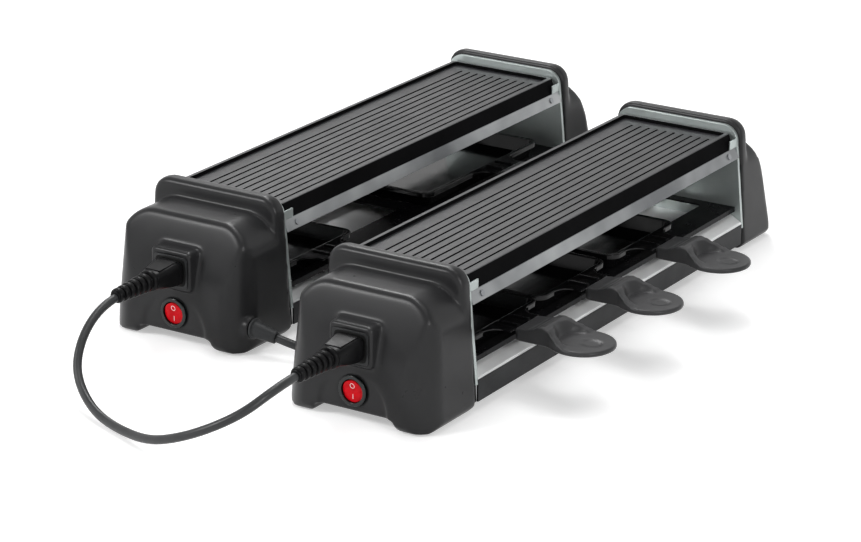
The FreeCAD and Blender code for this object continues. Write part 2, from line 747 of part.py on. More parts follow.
def side_rails(unit):
    """The two rails with the ledge that carries the grill plate."""
    body = new_body(unit.label("side_rails"), unit)
    thin = s.rail_sheet
    half = [
        (s.rail_top_half - s.rail_ledge, s.grill_skirt - thin),
        (s.rail_top_half - thin, s.grill_skirt - thin),
        (s.rail_foot_half - thin, s.rail_foot),
        (s.rail_foot_half, s.rail_foot),
        (s.rail_top_half, s.grill_skirt),
        (s.rail_top_half - s.rail_ledge, s.grill_skirt),
    ]
    pad(body, "XZ", half, 0.0, s.bay_length)
    pad(body, "XZ", [(-corner[0], corner[1]) for corner in half], 0.0, s.bay_length)
    return body


def tube(label, unit, parts):
    """Straight and bent round stock: one solid fused from primitives."""
    whole = doc.addObject("Part::MultiFuse", label)
    whole.Label = label
    whole.Shapes = parts
    bind(whole, "Placement.Base.x", unit.x)
    bind(whole, "Placement.Base.y", unit.y)
    NODES.append(whole)
    doc.recompute()
    return whole


def heating_element(unit):
    """Four runs and three bends of one round element, with its ends through the near plate."""
    pitch = s.heater_pitch
    near = s.heater_margin + pitch / 2.0
    far = s.bay_length - s.heater_margin - pitch / 2.0
    parts = []
    for number in range(4):
        run = doc.addObject("Part::Cylinder", "Run")
        start = as_size(-12.0) if number in (0, 3) else near
        bind(run, "Radius", s.heater_radius)
        bind(run, "Height", far - start)
        run.Placement = Placement(Vector(0, 0, 0), Rotation(X_AXIS, -90))
        bind(run, "Placement.Base.x", pitch * (number - 1.5))
        bind(run, "Placement.Base.y", start)
        bind(run, "Placement.Base.z", s.heater_height)
        parts.append(run)
    for number in range(3):
        bend = doc.addObject("Part::Torus", "Bend")
        bind(bend, "Radius1", pitch / 2.0)
        bind(bend, "Radius2", s.heater_radius)
        bend.Angle3 = 180
        turn = 0 if number in (0, 2) else 180
        bend.Placement = Placement(Vector(0, 0, 0), Rotation(Z_AXIS, turn))
        bind(bend, "Placement.Base.x", pitch * (number - 1.0))
        bind(bend, "Placement.Base.y", far if turn == 0 else near)
        bind(bend, "Placement.Base.z", s.heater_height)
        parts.append(bend)
    return tube(unit.label("heating_element"), unit, parts)


def element_straps(unit):
    """Two straps that hang from the ledges and carry the element."""
    body = new_body(unit.label("element_straps"), unit)
    low = s.heater_height - s.heater_radius - 0.3
    high = s.grill_skirt - s.rail_sheet
    thin = s.strap_sheet
    half = [
        (41.6, low - thin),
        (46.6, high - thin),
        (51.4, high - thin),
        (51.4, high),
        (46.0, high),
        (41.0, low),
    ]
    for place in (0.25, 0.75):
        pad(body, "XZ", mirrored_outline(half), s.bay_length * place, s.strap_width)
    return body


def grill_plate(unit):
    """The cast plate: sloping skirt, raised rim and lengthwise grooves."""
    body = new_body(unit.label("grill_plate"), unit)
    play = s.grill_play
    length = s.bay_length - play * 2.0
    half = [(s.grill_skirt_half, s.grill_skirt), (s.grill_half, s.grill_top)]
    pad(body, "XZ", mirrored_outline(half), play, length)
    top = float(s.grill_top)
    low = float(s.grill_skirt)
    round_edges(body, 5.0, lambda e: e.BoundBox.ZMax > top - 0.01 and e.BoundBox.ZMin < low + 0.01)
    round_edges(body, 1.3, lambda e: e.BoundBox.ZMin > top - 0.01)
    inset = s.grill_rim
    middle = s.bay_length / 2.0
    half_length = s.bay_length / 2.0 - play - inset
    basin = rounded_rectangle(0.0, middle, s.grill_half - inset, half_length, 3.0)
    pocket(body, "XY", basin, s.grill_floor, CLEAR)
    under = rounded_rectangle(
        0.0, middle, s.grill_skirt_half - s.grill_wall - 1.5, half_length + inset - s.grill_wall, 3.0
    )
    pocket(body, "XY", under, -CLEAR, s.grill_floor - s.grill_thickness + CLEAR)
    first = s.groove_first
    groove = rectangle(
        first - s.groove_width / 2.0,
        first + s.groove_width / 2.0,
        play + s.groove_margin,
        s.bay_length - play - s.groove_margin,
    )
    line = pocket(body, "XY", groove, s.grill_floor - s.groove_depth, CLEAR)
    repeat(body, line, "X_Axis", s.groove_pitch * (s.groove_count - 1.0), s.groove_count)
    return body


def pan_shelf(unit):
    """The black sheet under the pans, with a window for each place and turned-down edges."""
    body = new_body(unit.label("pan_shelf"), unit)
    thin = s.shelf_sheet
    across = rectangle(-s.shelf_half, s.shelf_half, 0.0, s.bay_length)
    pad(body, "XY", across, s.shelf_top - thin, thin)
    for side in (1.0, -1.0):
        low, high = (s.shelf_half - thin, s.shelf_half) if side > 0 else (-s.shelf_half, thin - s.shelf_half)
        pad(body, "XY", rectangle(low, high, 0.0, s.bay_length), s.shelf_top - s.shelf_lip, s.shelf_lip)
    for place in range(4):
        middle = s.bay_length / 2.0 + s.place_pitch * (place - 1.5)
        window = rounded_rectangle(0.0, middle, s.window_half, s.window_length / 2.0, s.window_round)
        pocket(body, "XY", window, s.shelf_top - thin - 1.0, thin + 2.0)
    return body


def plain_sheet(unit, words, half, top, thickness):
    body = new_body(unit.label(words), unit)
    pad(body, "XY", rectangle(-half, half, 0.0, s.bay_length), top - thickness, thickness)
    return body


def base_channel(unit):
    """The folded base between the housings, which carries the tray."""
    body = new_body(unit.label("base_channel"), unit)
    top = s.tray_top - s.tray_sheet
    thin = s.base_sheet
    half = [
        (s.base_half - thin, s.base_foot),
        (s.base_half, s.base_foot),
        (s.base_half, top),
    ]
    outline = half + [
        (-s.base_half, top),
        (-s.base_half, s.base_foot),
        (thin - s.base_half, s.base_foot),
        (thin - s.base_half, top - thin),
        (s.base_half - thin, top - thin),
    ]
    pad(body, "XZ", outline, 0.0, s.bay_length)
    return body


def pan(unit, words, place, half_length, neck):
    """A pan with a turned rim, a neck and two ribs. The neck stands off the pan's centre."""
    body = new_body(unit.label(words), unit)
    centre = s.pan_centre
    low = s.shelf_top + s.seat_gap
    thin = s.pan_sheet
    rim = s.pan_rim
    slant = 14.0
    spread = (s.pan_height - thin) * math.tan(math.radians(slant))
    half = s.pan_half - rim - spread
    long_half = half_length - rim - spread
    foot = rounded_rectangle(centre, place, half, long_half, s.pan_round)
    pad(body, "XY", foot, low, s.pan_height - thin, slant)
    flange = rounded_rectangle(centre, place, s.pan_half, half_length, s.pan_round + rim + 3.0)
    pad(body, "XY", flange, low + s.pan_height - thin, thin)
    at = as_size(place) + neck
    edge = centre + s.pan_half
    wide = s.neck_half
    bend = s.neck_round
    plan = [
        (edge - 1.0, at - wide - bend),
        (edge, at - wide - bend, -bend),
        (edge + bend, at - wide),
        (s.grip_start - 1.0, at - wide),
        (s.grip_start - 1.0, at - s.tongue_half),
        (s.neck_end, at - s.tongue_half),
        (s.neck_end, at + s.tongue_half),
        (s.grip_start - 1.0, at + s.tongue_half),
        (s.grip_start - 1.0, at + wide),
        (edge + bend, at + wide, -bend),
        (edge, at + wide + bend),
        (edge - 1.0, at + wide + bend),
    ]
    pad(body, "XY", plan, low + s.pan_height - thin, thin)
    middle = edge + s.neck_length / 2.0 - 1.5
    for side in (-1.0, 1.0):
        rib = rounded_rectangle(middle, at + side * s.rib_across, s.rib_half_length, s.rib_half, s.rib_half - 0.1)
        pad(body, "XY", rib, low + s.pan_height, s.rib_height)
    inside = rounded_rectangle(centre, place, half - thin, long_half - thin, s.pan_round - thin)
    pocket(body, "XY", inside, low + thin, s.pan_height + 3.0, slant)
    return body


def grip(unit, words, place):
    """A pan's grip: block, hood with a thumb hollow and a flat paddle."""
    body = new_body(unit.label(words), unit)
    at = as_size(place)
    half = s.grip_block_half
    radius = s.paddle_radius
    centre = s.grip_end - radius
    reach = centre - root(radius * radius - half * half)
    plan = [
        (s.grip_start, at - half),
        (reach, at - half, radius),
        (s.grip_end, at, radius),
        (reach, at + half),
        (s.grip_start, at + half),
    ]
    foot = s.grip_foot
    pad(body, "XY", plan, foot, s.grip_crest + 1.0 - foot)
    notch = float(reach)
    round_edges(
        body,
        s.grip_notch,
        lambda e: runs_along(e, Z_AXIS) and abs(e.BoundBox.XMin - notch) < 0.01,
    )
    start = float(s.grip_start)
    round_edges(
        body,
        s.grip_corner,
        lambda e: runs_along(e, Z_AXIS) and abs(e.BoundBox.XMin - start) < 0.01,
    )
    low = float(foot)
    round_edges(body, s.grip_edge, lambda e: e.BoundBox.ZMax < low + 0.01)
    over = s.grip_crest + CLEAR
    side_line = [
        (s.grip_start - 5.0, s.grip_block_top),
        (s.grip_start + 4.0, s.grip_block_top),
        (s.grip_start + 21.0, s.grip_crest),
        (s.grip_start + 27.0, s.grip_crest - 0.7),
        (s.hollow_centre + 8.0, s.grip_paddle_top),
        (s.grip_end + 5.0, s.grip_paddle_top),
        (s.grip_end + 5.0, over),
        (s.grip_start - 5.0, over),
    ]
    pocket(body, "XZ", side_line, at - ACROSS, 2 * ACROSS)
    hollow = [(s.hollow_centre, at, s.hollow_radius)]
    bore(body, "XY", hollow, s.grip_paddle_top - s.hollow_depth, CLEAR)
    play = s.seat_gap
    slot = rectangle(
        s.grip_start - 2.0, s.neck_end + play, at - s.tongue_half - play, at + s.tongue_half + play
    )
    pocket(body, "XY", slot, s.pan_rim_height - s.pan_sheet, s.pan_sheet)
    return body


def socket(unit, words, pins):
    """A connector set in the boss: frame, body, and a recess with pin slots or three contacts."""
    body = new_body(unit.label(words), unit)
    high = s.inlet_height
    outer = s.boss_face
    face = outer - s.inlet_flange
    back = face - s.inlet_depth
    frame = rounded_rectangle(0.0, high, s.inlet_half, s.inlet_half_height, 2.5)
    pad(body, "XZ", frame, *NEAR.span(face, outer))
    block = rounded_rectangle(0.0, high, s.inlet_body_half, s.inlet_body_half_height, 2.0)
    pad(body, "XZ", block, *NEAR.span(back, face))
    if pins:
        recess = rounded_rectangle(0.0, high, s.shroud_half, s.shroud_half_height, 1.8)
        pocket(body, "XZ", recess, *NEAR.span(outer - s.shroud_depth, outer + 1.0))
        slots = [pin_outline(*spot, 0.0) for spot in PIN_SPOTS]
        for slot in slots:
            pocket(body, "XZ", slot, *NEAR.span(back - 1.0, outer - s.shroud_depth))
    else:
        for spot in PIN_SPOTS:
            pocket(body, "XZ", pin_outline(*spot, 0.3), *NEAR.span(outer - 15.0, outer + 1.0))
    return body


PIN_SPOTS = ((-7.0, -2.0), (0.0, 2.0), (7.0, -2.0))


def pin_outline(across, up, play):
    """Outline of a flat pin about the connector's axis."""
    high = s.inlet_height + up
    return rectangle(across - 1.0 - play, across + 1.0 + play, high - 2.0 - play, high + 2.0 + play)


def inlet_pins(unit):
    body = new_body(unit.label("inlet_pins"), unit)
    back = s.boss_face - s.inlet_flange - s.inlet_depth - 4.0
    for spot in PIN_SPOTS:
        pad(body, "XZ", pin_outline(*spot, 0.0), *NEAR.span(back, s.boss_face - s.inlet_flange))
    return body


def switch_bezel(unit):
    """The round frame of the switch with its barrel."""
    body = new_body(unit.label("switch_bezel"), unit)
    high = s.switch_height
    front = s.pad_face + s.switch_bezel_depth
    disc(body, "XZ", [(0.0, high, s.switch_bezel_radius)], *NEAR.span(s.pad_face, front))
    disc(body, "XZ", [(0.0, high, s.switch_body_radius)], *NEAR.span(s.pad_face - 16.0, s.pad_face))
    edge = float(NEAR.at(front))
    round_edges(body, 0.7, lambda e: lies_at_y(e, edge))
    bore(body, "XZ", [(0.0, high, s.rocker_radius + 0.6)], *NEAR.span(s.switch_hinge - 4.5, front + 1.0))
    return body


def switch_rocker(unit):
    """The rocker, modelled about its hinge and leaning towards its switched-off end."""
    body = doc.addObject("PartDesign::Body", unit.label("switch_rocker"))
    body.Label = unit.label("switch_rocker")
    body.Placement = Placement(Vector(0, 0, 0), Rotation(X_AXIS, ROCKER_LEAN))
    bind(body, "Placement.Base.x", unit.x)
    bind(body, "Placement.Base.y", unit.y - s.switch_hinge)
    bind(body, "Placement.Base.z", s.switch_height)
    NODES.append(body)
    disc(body, "XZ", [(0.0, 0.0, s.rocker_radius)], -3.2, 5.7)
    valley = [(-6.0, 9.5), (-6.0, -9.5), (-3.2, -9.5), (-2.3, 0.0), (-3.2, 9.5)]
    pocket(body, "YZ", valley, -CLEAR, 2 * CLEAR)
    return body


ROCKER_LEAN = 7.0


def terminal_block(unit):
    body = new_body(unit.label("terminal_block"), unit)
    block = rounded_rectangle(0.0, 84.0, 13.0, 6.5, 1.0)
    pad(body, "XZ", block, *NEAR.span(s.plate_sheet, 18.0))
    holes = [(-8.0, 84.0, 2.2), (0.0, 84.0, 2.2), (8.0, 84.0, 2.2)]
    bore(body, "XZ", holes, *NEAR.span(6.0, 19.0))
    return body


def rubber_feet(unit):
    """Four soft feet with stems, one group."""
    body = new_body(unit.label("rubber_feet"), unit)
    disc(body, "XY", [(x, y, s.foot_radius) for x, y in foot_spots()], 0.0, s.foot_height)
    disc(body, "XY", [(x, y, s.stem_radius) for x, y in foot_spots()], s.foot_height, 4.0)
    return body


def foot_spots():
    spots = []
    for place in (NEAR.at(s.near_foot_reach), FAR.at(s.far_foot_reach)):
        spots += [(s.foot_across, place), (-s.foot_across, place)]
    return spots


def rail_screws(unit):
    """Small screw heads on the rails near their ends, one group."""
    heads = []
    lean = math.degrees(math.atan2(float(s.rail_flare), float(s.rail_height)))
    for side in (1, -1):
        for place in (s.rail_screw_place, s.bay_length - s.rail_screw_place):
            head = doc.addObject("Part::Cylinder", "Head")
            head.Radius = 2.3
            head.Height = 0.9
            normal = Vector(side * math.cos(math.radians(lean)), 0, math.sin(math.radians(lean)))
            head.Placement = Placement(Vector(0, 0, 0), Rotation(Z_AXIS, normal))
            bind(head, "Placement.Base.x", (s.rail_foot_half + s.rail_top_half) / 2.0 * float(side))
            bind(head, "Placement.Base.y", place)
            bind(head, "Placement.Base.z", (s.rail_foot + s.grill_skirt) / 2.0)
            heads.append(head)
    group = doc.addObject("Part::Compound", unit.label("rail_screws"))
    group.Label = unit.label("rail_screws")
    group.Links = heads
    bind(group, "Placement.Base.x", unit.x)
    bind(group, "Placement.Base.y", unit.y)
    NODES.append(group)
    doc.recompute()
    return group


def build_unit(unit, pans):
    near_steps = (
        (s.dome_top - s.case_wall, s.near_depth - 24.0, 0.0),
        (s.dome_top - 25.0, s.near_depth - 13.0, 6.5),
        (s.dome_top - 50.0, s.near_depth - 6.5, 14.0),
    )
    far_steps = (
        (s.dome_top - 15.0, s.far_depth - 35.0, 0.0),
        (s.dome_top - 35.0, s.far_depth - 21.5, 0.0),
        (s.dome_top - 55.0, s.far_depth - 11.0, 3.0),
    )
    near = housing(
        unit,
        NEAR,
        "control_housing",
        s.near_depth,
        s.near_shoulder,
        s.face_foot,
        s.face_bulge,
        (s.near_corner, s.near_corner_high, s.near_corner_lean),
        near_steps,
    )
    foot_seats(near, foot_spots()[:2])
    opening = rounded_rectangle(
        0.0, s.inlet_height, s.inlet_body_half + 0.2, s.inlet_body_half_height + 0.2, 2.2
    )
    behind = s.near_shoulder - 3.0
    before = s.boss_face + 1.0
    pocket(near, "XZ", opening, *NEAR.span(behind, before))
    seat = rounded_rectangle(0.0, s.inlet_height, s.inlet_half + 0.5, s.inlet_half_height + 0.5, 2.8)
    pocket(near, "XZ", seat, *NEAR.span(s.boss_face - s.inlet_flange, before))
    barrel = [(0.0, s.switch_height, s.switch_body_radius + s.seat_gap)]
    bore(near, "XZ", barrel, *NEAR.span(behind, before))
    if unit.name == "rear":
        side = (NEAR.at(s.relief_reach), s.relief_height)
        root_of_seat = s.relief_seat - 9.0
        disc(near, "YZ", [side + (s.relief_radius + 2.2,)], root_of_seat, s.relief_seat - root_of_seat)
        bore(near, "YZ", [side + (s.relief_radius + s.seat_gap,)], root_of_seat - 5.0, CLEAR)
    far = housing(
        unit,
        FAR,
        "far_housing",
        s.far_depth,
        s.far_shoulder,
        s.far_face_foot,
        s.far_bulge,
        (s.far_corner, s.far_corner_high, s.far_corner_lean),
        far_steps,
    )
    foot_seats(far, foot_spots()[2:])
    across = s.heater_pitch * 1.5
    holes = [(x, z, s.screw_radius) for x, z in PLATE_SCREWS]
    ends = [(across, s.heater_height, 3.7), (-across, s.heater_height, 3.7)]
    end_plate(unit, NEAR, "near_end_plate", holes + ends)
    end_plate(unit, FAR, "far_end_plate", holes)
    base_cover(unit, NEAR, "control_base_cover")
    base_cover(unit, FAR, "far_base_cover")
    screws(unit)
    side_rails(unit)
    rail_screws(unit)
    heating_element(unit)
    element_straps(unit)
    grill_plate(unit)
    pan_shelf(unit)
    plain_sheet(unit, "reflector_tray", s.tray_half, s.tray_top, s.tray_sheet)
    base_channel(unit)
    switch_bezel(unit)
    switch_rocker(unit)
    terminal_block(unit)
    rubber_feet(unit)
    for number, (place, half_length, neck) in enumerate(pans, 1):
        pan(unit, "pan_%d" % number, place, half_length, neck)
        grip(unit, "pan_grip_%d" % number, place + neck)


front = Unit(
    "front",
    (s.case_foot_half - s.rear_shift_x - s.grip_end) / 2.0,
    (s.boss_face - s.rear_shift_y - s.bay_length - s.far_depth) / 2.0,
)
rear = Unit("rear", front.x + s.rear_shift_x, front.y + s.rear_shift_y)
small = s.pan_half_length
place = s.place_pitch
build_unit(
    front,
    ((place * 0.5 + 5.5, small, 0.0), (place * 1.5 + 4.7, small, 0.0), (place * 2.5 + 11.5, small, 0.0)),
)
build_unit(rear, ((place * 0.5 + 2.0, small, 0.0), (place * 3.0 - 9.5, s.wide_half_length, 10.5)))
socket(front, "inlet", True)
inlet_pins(front)
socket(rear, "outlet", False)


def bent_run(points, label):
    """A wire of straight runs and tangent arcs along a control polygon."""
    edges = []
    radii = []
    last = points[0]
    for before, corner, after in zip(points, points[1:], points[2:]):
        inward = corner - before
        outward = after - corner
        turn = inward.getAngle(outward)
        reach = 0.45 * min(inward.Length, outward.Length)
        radius = reach / math.tan(turn / 2)
        radii.append(radius)
        inward.normalize()
        outward.normalize()
        start = corner - inward * reach
        end = corner + outward * reach
        bisector = (outward - inward).normalize()
        middle = corner + bisector * (radius / math.cos(turn / 2) - radius)
        edges.append(Part.LineSegment(last, start).toShape())
        edges.append(Part.Arc(start, middle, end).toShape())
        last = end
    edges.append(Part.LineSegment(last, points[-1]).toShape())
    print(label, "radii", " ".join("%.0f" % radius for radius in radii))
    return Part.Wire(edges)


def half_turn(start, end, way):
    """Two tangent arcs from start to end that leave along a direction and return against it."""
    reach = (end - start).Length / 2
    corners = (start + way * reach, end + way * reach)
    joint = (corners[0] + corners[1]) * 0.5
    edges = []
    for first, corner, last in ((start, corners[0], joint), (joint, corners[1], end)):
        middle = (first + last) * 0.5
        chord = (last - first).Length / 2
        height = (corner - middle).Length
        radius = chord * (corner - first).Length / height
        rise = radius - math.sqrt(radius ** 2 - chord ** 2)
        top = middle + (corner - middle) * (rise / height)
        edges.append(Part.Arc(first, top, last).toShape())
    return edges


def tube_along(wire, label):
    """A closed round tube along a wire, checked against its section times its length."""
    radius = float(s.lead_radius)
    start = wire.Edges[0].valueAt(wire.Edges[0].FirstParameter)
    way = wire.Edges[0].tangentAt(wire.Edges[0].FirstParameter)
    section = Part.Wire([Part.makeCircle(radius, start, way)])
    solid = wire.makePipeShell([section], True, False)
    wanted = math.pi * radius ** 2 * wire.Length
    print(label, "length %.1f" % wire.Length, "volume ratio %.4f" % (solid.Volume / wanted))
    return solid


def cord_node(label, shape):
    """A swept cord, drawn in the front unit's coordinates."""
    node = doc.addObject("Part::Feature", label)
    node.Label = label
    node.Shape = shape
    node.Placement = Placement(Vector(float(front.x), float(front.y), 0), Rotation())
    NODES.append(node)
    return node


def cord_end(unit, words, male):
    """A moulded connector on the link lead with its ribbed relief."""
    body = new_body(words, unit)
    high = s.inlet_height
    face = s.boss_face + s.seat_gap
    slant = math.degrees(math.atan2(3.2, 25.0))
    block = rounded_rectangle(0.0, high, 8.9, 6.3, 2.4)
    pad(body, "XZ", block, *NEAR.span(face, face + 25.0), slant)
    disc(body, "XZ", [(0.0, high, 7.8)], *NEAR.span(face + 24.5, face + 28.0))
    if male:
        for spot in PIN_SPOTS:
            pad(body, "XZ", pin_outline(*spot, 0.0), *NEAR.span(face - 14.0, face))
    else:
        nose = rounded_rectangle(0.0, high, s.shroud_half - 0.3, s.shroud_half_height - 0.3, 1.6)
        pad(body, "XZ", nose, *NEAR.span(face - 15.5, face))
        for spot in PIN_SPOTS:
            pocket(body, "XZ", pin_outline(*spot, 0.3), *NEAR.span(face - 16.5, face))
    disc(body, "XZ", [(0.0, high, 4.7)], *NEAR.span(face + 26.0, 135.6))
    for number in range(7):
        place = 101.0 + 5.1 * number
        disc(body, "XZ", [(0.0, high, 7.0 - 0.22 * number)], *NEAR.span(place, place + 3.2))
    bore(body, "XZ", [(0.0, high, s.lead_radius + 0.3)], *NEAR.span(115.0, 136.6))
    return body


cord_end(front, "link_connector", False)
cord_end(rear, "link_plug", True)
LINK = (
    (0, -115, 58.6),
    (0, -138, 58.6),
    (-2, -163, 55),
    (-12, -181, 44),
    (-30, -191.5, 33),
    (-54, -195, 21.5),
    (-84, -189.5, 10),
    (-117, -176.5, 4.6),
    (-149, -164, 5.2),
    (-173, -150.5, 13),
    (-187.5, -139, 25.5),
    (-193.5, -124, 41),
    (-196.3, -104, 53),
    (-196.8, -80, 58.6),
    (-196.8, -57.6, 58.6),
)
link = bent_run([Vector(*spot) for spot in LINK], "link_lead")
cord_node("link_lead", tube_along(link, "link_lead"))

# The mains lead leaves the rear unit through a slightly drooping relief.
RELIEF_BASE = Vector(
    float(s.rear_shift_x + s.relief_seat), float(s.rear_shift_y - s.relief_reach), float(s.relief_height)
)
RELIEF_TIP = Vector(-115.8, 7.4, 16.0)
relief_way = (RELIEF_TIP - RELIEF_BASE).normalize()
relief_length = (RELIEF_TIP - RELIEF_BASE).Length


def round_piece(kind, base, way, sizes):
    """A cylinder or cone from a base point along a direction, in the front unit's coordinates."""
    item = doc.addObject(kind, "Round")
    for word, length in sizes.items():
        bind(item, word, length)
    item.Placement = Placement(base, Rotation(Z_AXIS, way))
    return item


flange = round_piece("Part::Cylinder", RELIEF_BASE, X_AXIS, {"Radius": 8.0, "Height": 2.2})
neck = round_piece(
    "Part::Cylinder", RELIEF_BASE - X_AXIS * 6.0, X_AXIS, {"Radius": s.relief_radius, "Height": 6.0}
)
boot = round_piece(
    "Part::Cone",
    RELIEF_BASE + X_AXIS * 1.0,
    relief_way,
    {"Radius1": 6.6, "Radius2": 4.8, "Height": relief_length - 1.0},
)
relief_whole = doc.addObject("Part::MultiFuse", "Relief")
relief_whole.Shapes = [flange, neck, boot]
relief_bore = round_piece(
    "Part::Cylinder", RELIEF_TIP - relief_way * 8.0, relief_way, {"Radius": s.lead_radius + 0.3, "Height": 9.0}
)
relief = doc.addObject("Part::Cut", "mains_strain_relief")
relief.Label = "mains_strain_relief"
relief.Base = relief_whole
relief.Tool = relief_bore
bind(relief, "Placement.Base.x", front.x)
bind(relief, "Placement.Base.y", front.y)
NODES.append(relief)

COIL = Vector(-35.0, 513.0, 0.0)
COIL_LOW = 4.7
COIL_HIGH = 11.9
lead_start = RELIEF_TIP - relief_way * 8.0
coil_entry = COIL + Vector(-41.2, -6.5, COIL_LOW)
MAINS = (
    tuple(lead_start),
    tuple(lead_start + relief_way * 12.0),
    (-100.5, 10.6, 11.8),
    (-89, 18, 8.2),
    (-81.5, 32, 6),
    (-78.8, 54, 5),
    (-79.6, 95, 4.7),
    (-77.6, 172, 4.9),
    (-79.4, 250, 4.6),
    (-77.8, 330, 4.8),
    (-79, 392, 4.7),
    (-77.6, 436, 4.8),
    (-76.4, 464, 4.75),
    (-76, 486, 4.7),
    tuple(coil_entry),
)
mains = bent_run([Vector(*spot) for spot in MAINS], "mains_lead")
cord_node("mains_lead", tube_along(mains, "mains_lead"))

# Left and right crossings of the coil's loops: inwards on the floor, a climb, outwards above.
CROSSINGS = (
    (-41.2, COIL_LOW),
    (37.65, COIL_LOW),
    (-34.1, COIL_LOW),
    (30.6, COIL_LOW),
    (-27.05, COIL_LOW),
    (23.5, COIL_HIGH),
    (-30.6, COIL_HIGH),
    (34.15, COIL_HIGH),
    (-37.7, COIL_HIGH),
)
coil_edges = [Part.LineSegment(coil_entry, coil_entry + Y_AXIS * 6.5).toShape()]
for number, (begin, finish) in enumerate(zip(CROSSINGS, CROSSINGS[1:])):
    spots = [COIL + Vector(across, 0, high) for across, high in (begin, finish)]
    coil_edges += half_turn(spots[0], spots[1], Y_AXIS * (1.0 if number % 2 == 0 else -1.0))
coil_exit = COIL + Vector(CROSSINGS[-1][0], 6.5, COIL_HIGH)
coil_edges.append(Part.LineSegment(coil_exit - Y_AXIS * 6.5, coil_exit).toShape())
coil_wire = Part.Wire(coil_edges)
samples = coil_wire.discretize(Number=1400)
step = coil_wire.Length / 1399
least = min(
    samples[i].distanceToPoint(samples[j])
    for i in range(0, 1400, 2)
    for j in range(i + int(40 / step), 1400)
)
print("mains_lead_coil gap to itself %.2f" % (least - 2 * float(s.lead_radius)))
cord_node("mains_lead_coil", tube_along(coil_wire, "mains_lead_coil"))
TAIL = (
    tuple(coil_exit),
    (coil_exit.x, coil_exit.y + 9.5, COIL_HIGH),
    (-73.4, 539, 13.2),
    (-74.4, 549, 16.5),
    (-75, 559, 19.6),
    (-75, 570, 19.6),
)
tail = bent_run([Vector(*spot) for spot in TAIL], "mains_lead_tail")
cord_node("mains_lead_tail", tube_along(tail, "mains_lead_tail"))

coil_tie = new_body("coil_tie", front)
strap = rounded_rectangle(COIL.x + 30.6, 8.55, 11.9, 8.4, 3.0)
pad(coil_tie, "XZ", strap, COIL.y - 3.0, 6.0)
hole = rounded_rectangle(COIL.x + 30.6, 8.55, 10.8, 7.3, 2.0)
pocket(coil_tie, "XZ", hole, COIL.y - 4.0, 8.0)

plug = new_body("mains_plug", front)
for radius, low, high in ((7.0, 561, 580), (11.0, 577, 586), (15.5, 584, 592), (19.2, 590, 622)):
    disc(plug, "XZ", [(-75.0, 19.6, radius)], float(low), float(high - low))
plug_face = 622.0
round_edges(plug, 1.5, lambda e: lies_at_y(e, plug_face))
disc(plug, "XZ", [(-84.5, 19.6, 2.4), (-65.5, 19.6, 2.4)], 618.0, 23.0)
bore(plug, "XZ", [(-75.0, 19.6, s.lead_radius + 0.3)], 560.0, 10.0)
doc.recompute()

os.makedirs("parts", exist_ok=True)
for item in doc.Objects:
    if "Invalid" in item.State or "Error" in item.State:
        raise RuntimeError("%s is in the state %s" % (item.Label, item.State))
for node in NODES:
    shape = node.Shape
    if shape.isNull() or not shape.isValid() or not shape.Solids:
        raise RuntimeError("%s has no sound shape" % node.Label)
    shape.exportStep("parts/%s.step" % node.Label)
    box = shape.BoundBox
    print(
        "%-24s %d %10.1f  %.1f %.1f %.1f  %.1f %.1f %.1f"
        % (
            node.Label,
            len(shape.Solids),
            shape.Volume,
            box.XMin,
            box.YMin,
            box.ZMin,
            box.XMax,
            box.YMax,
            box.ZMax,
        )
    )
print(len(NODES), "nodes")
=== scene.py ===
"""The looks of a raclette grill of two linked units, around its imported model."""

import json
import math

import bmesh
import bpy
from mathutils import Matrix, Vector


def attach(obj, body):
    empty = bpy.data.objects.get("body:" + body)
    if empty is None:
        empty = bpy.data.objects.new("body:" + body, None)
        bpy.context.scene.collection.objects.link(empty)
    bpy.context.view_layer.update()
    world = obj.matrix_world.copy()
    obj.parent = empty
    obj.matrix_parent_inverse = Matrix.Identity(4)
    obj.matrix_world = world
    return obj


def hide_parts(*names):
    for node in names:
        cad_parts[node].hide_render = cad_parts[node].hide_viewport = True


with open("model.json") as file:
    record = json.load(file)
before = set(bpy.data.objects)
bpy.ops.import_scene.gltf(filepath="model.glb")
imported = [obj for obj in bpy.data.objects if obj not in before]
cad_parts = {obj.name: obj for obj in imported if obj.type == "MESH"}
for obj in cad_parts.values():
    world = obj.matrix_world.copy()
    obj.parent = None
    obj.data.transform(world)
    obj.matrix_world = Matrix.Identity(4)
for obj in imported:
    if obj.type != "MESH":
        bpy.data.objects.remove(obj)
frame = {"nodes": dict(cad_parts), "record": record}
scene = bpy.context.scene
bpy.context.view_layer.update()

# Origins of the two units, in metres: the middle of each bay's near end, on the table.
# The tables of shapes are in millimetres, unless a comment says metres.
FRONT = Vector((0.0607, -0.22595, 0.0))
REAR = FRONT + Vector((-0.1968, 0.0574, 0.0))
UNITS = {"front": FRONT, "rear": REAR}
BASE = "frame_and_housings"


# Camera

SENSOR_WIDTH = 36.0
LENS = 135.66
FAR_CLIP = 50.0
CAMERA_PLACE = (1.219008, -2.050882, 0.863293)
CAMERA_RIGHT = (0.84711, 0.53134, 0.00847)
CAMERA_BACK = (0.49815, -0.79954, 0.33552)

camera_data = bpy.data.cameras.new("camera")
camera_data.sensor_width = SENSOR_WIDTH
camera_data.lens = LENS
camera_data.clip_end = FAR_CLIP
camera = bpy.data.objects.new("camera", camera_data)
right = Vector(CAMERA_RIGHT).normalized()
back = Vector(CAMERA_BACK).normalized()
up = back.cross(right).normalized()
turn = Matrix((right, up, back)).transposed().to_4x4()
camera.matrix_world = Matrix.Translation(CAMERA_PLACE) @ turn
scene.collection.objects.link(camera)
scene.camera = camera


# Materials

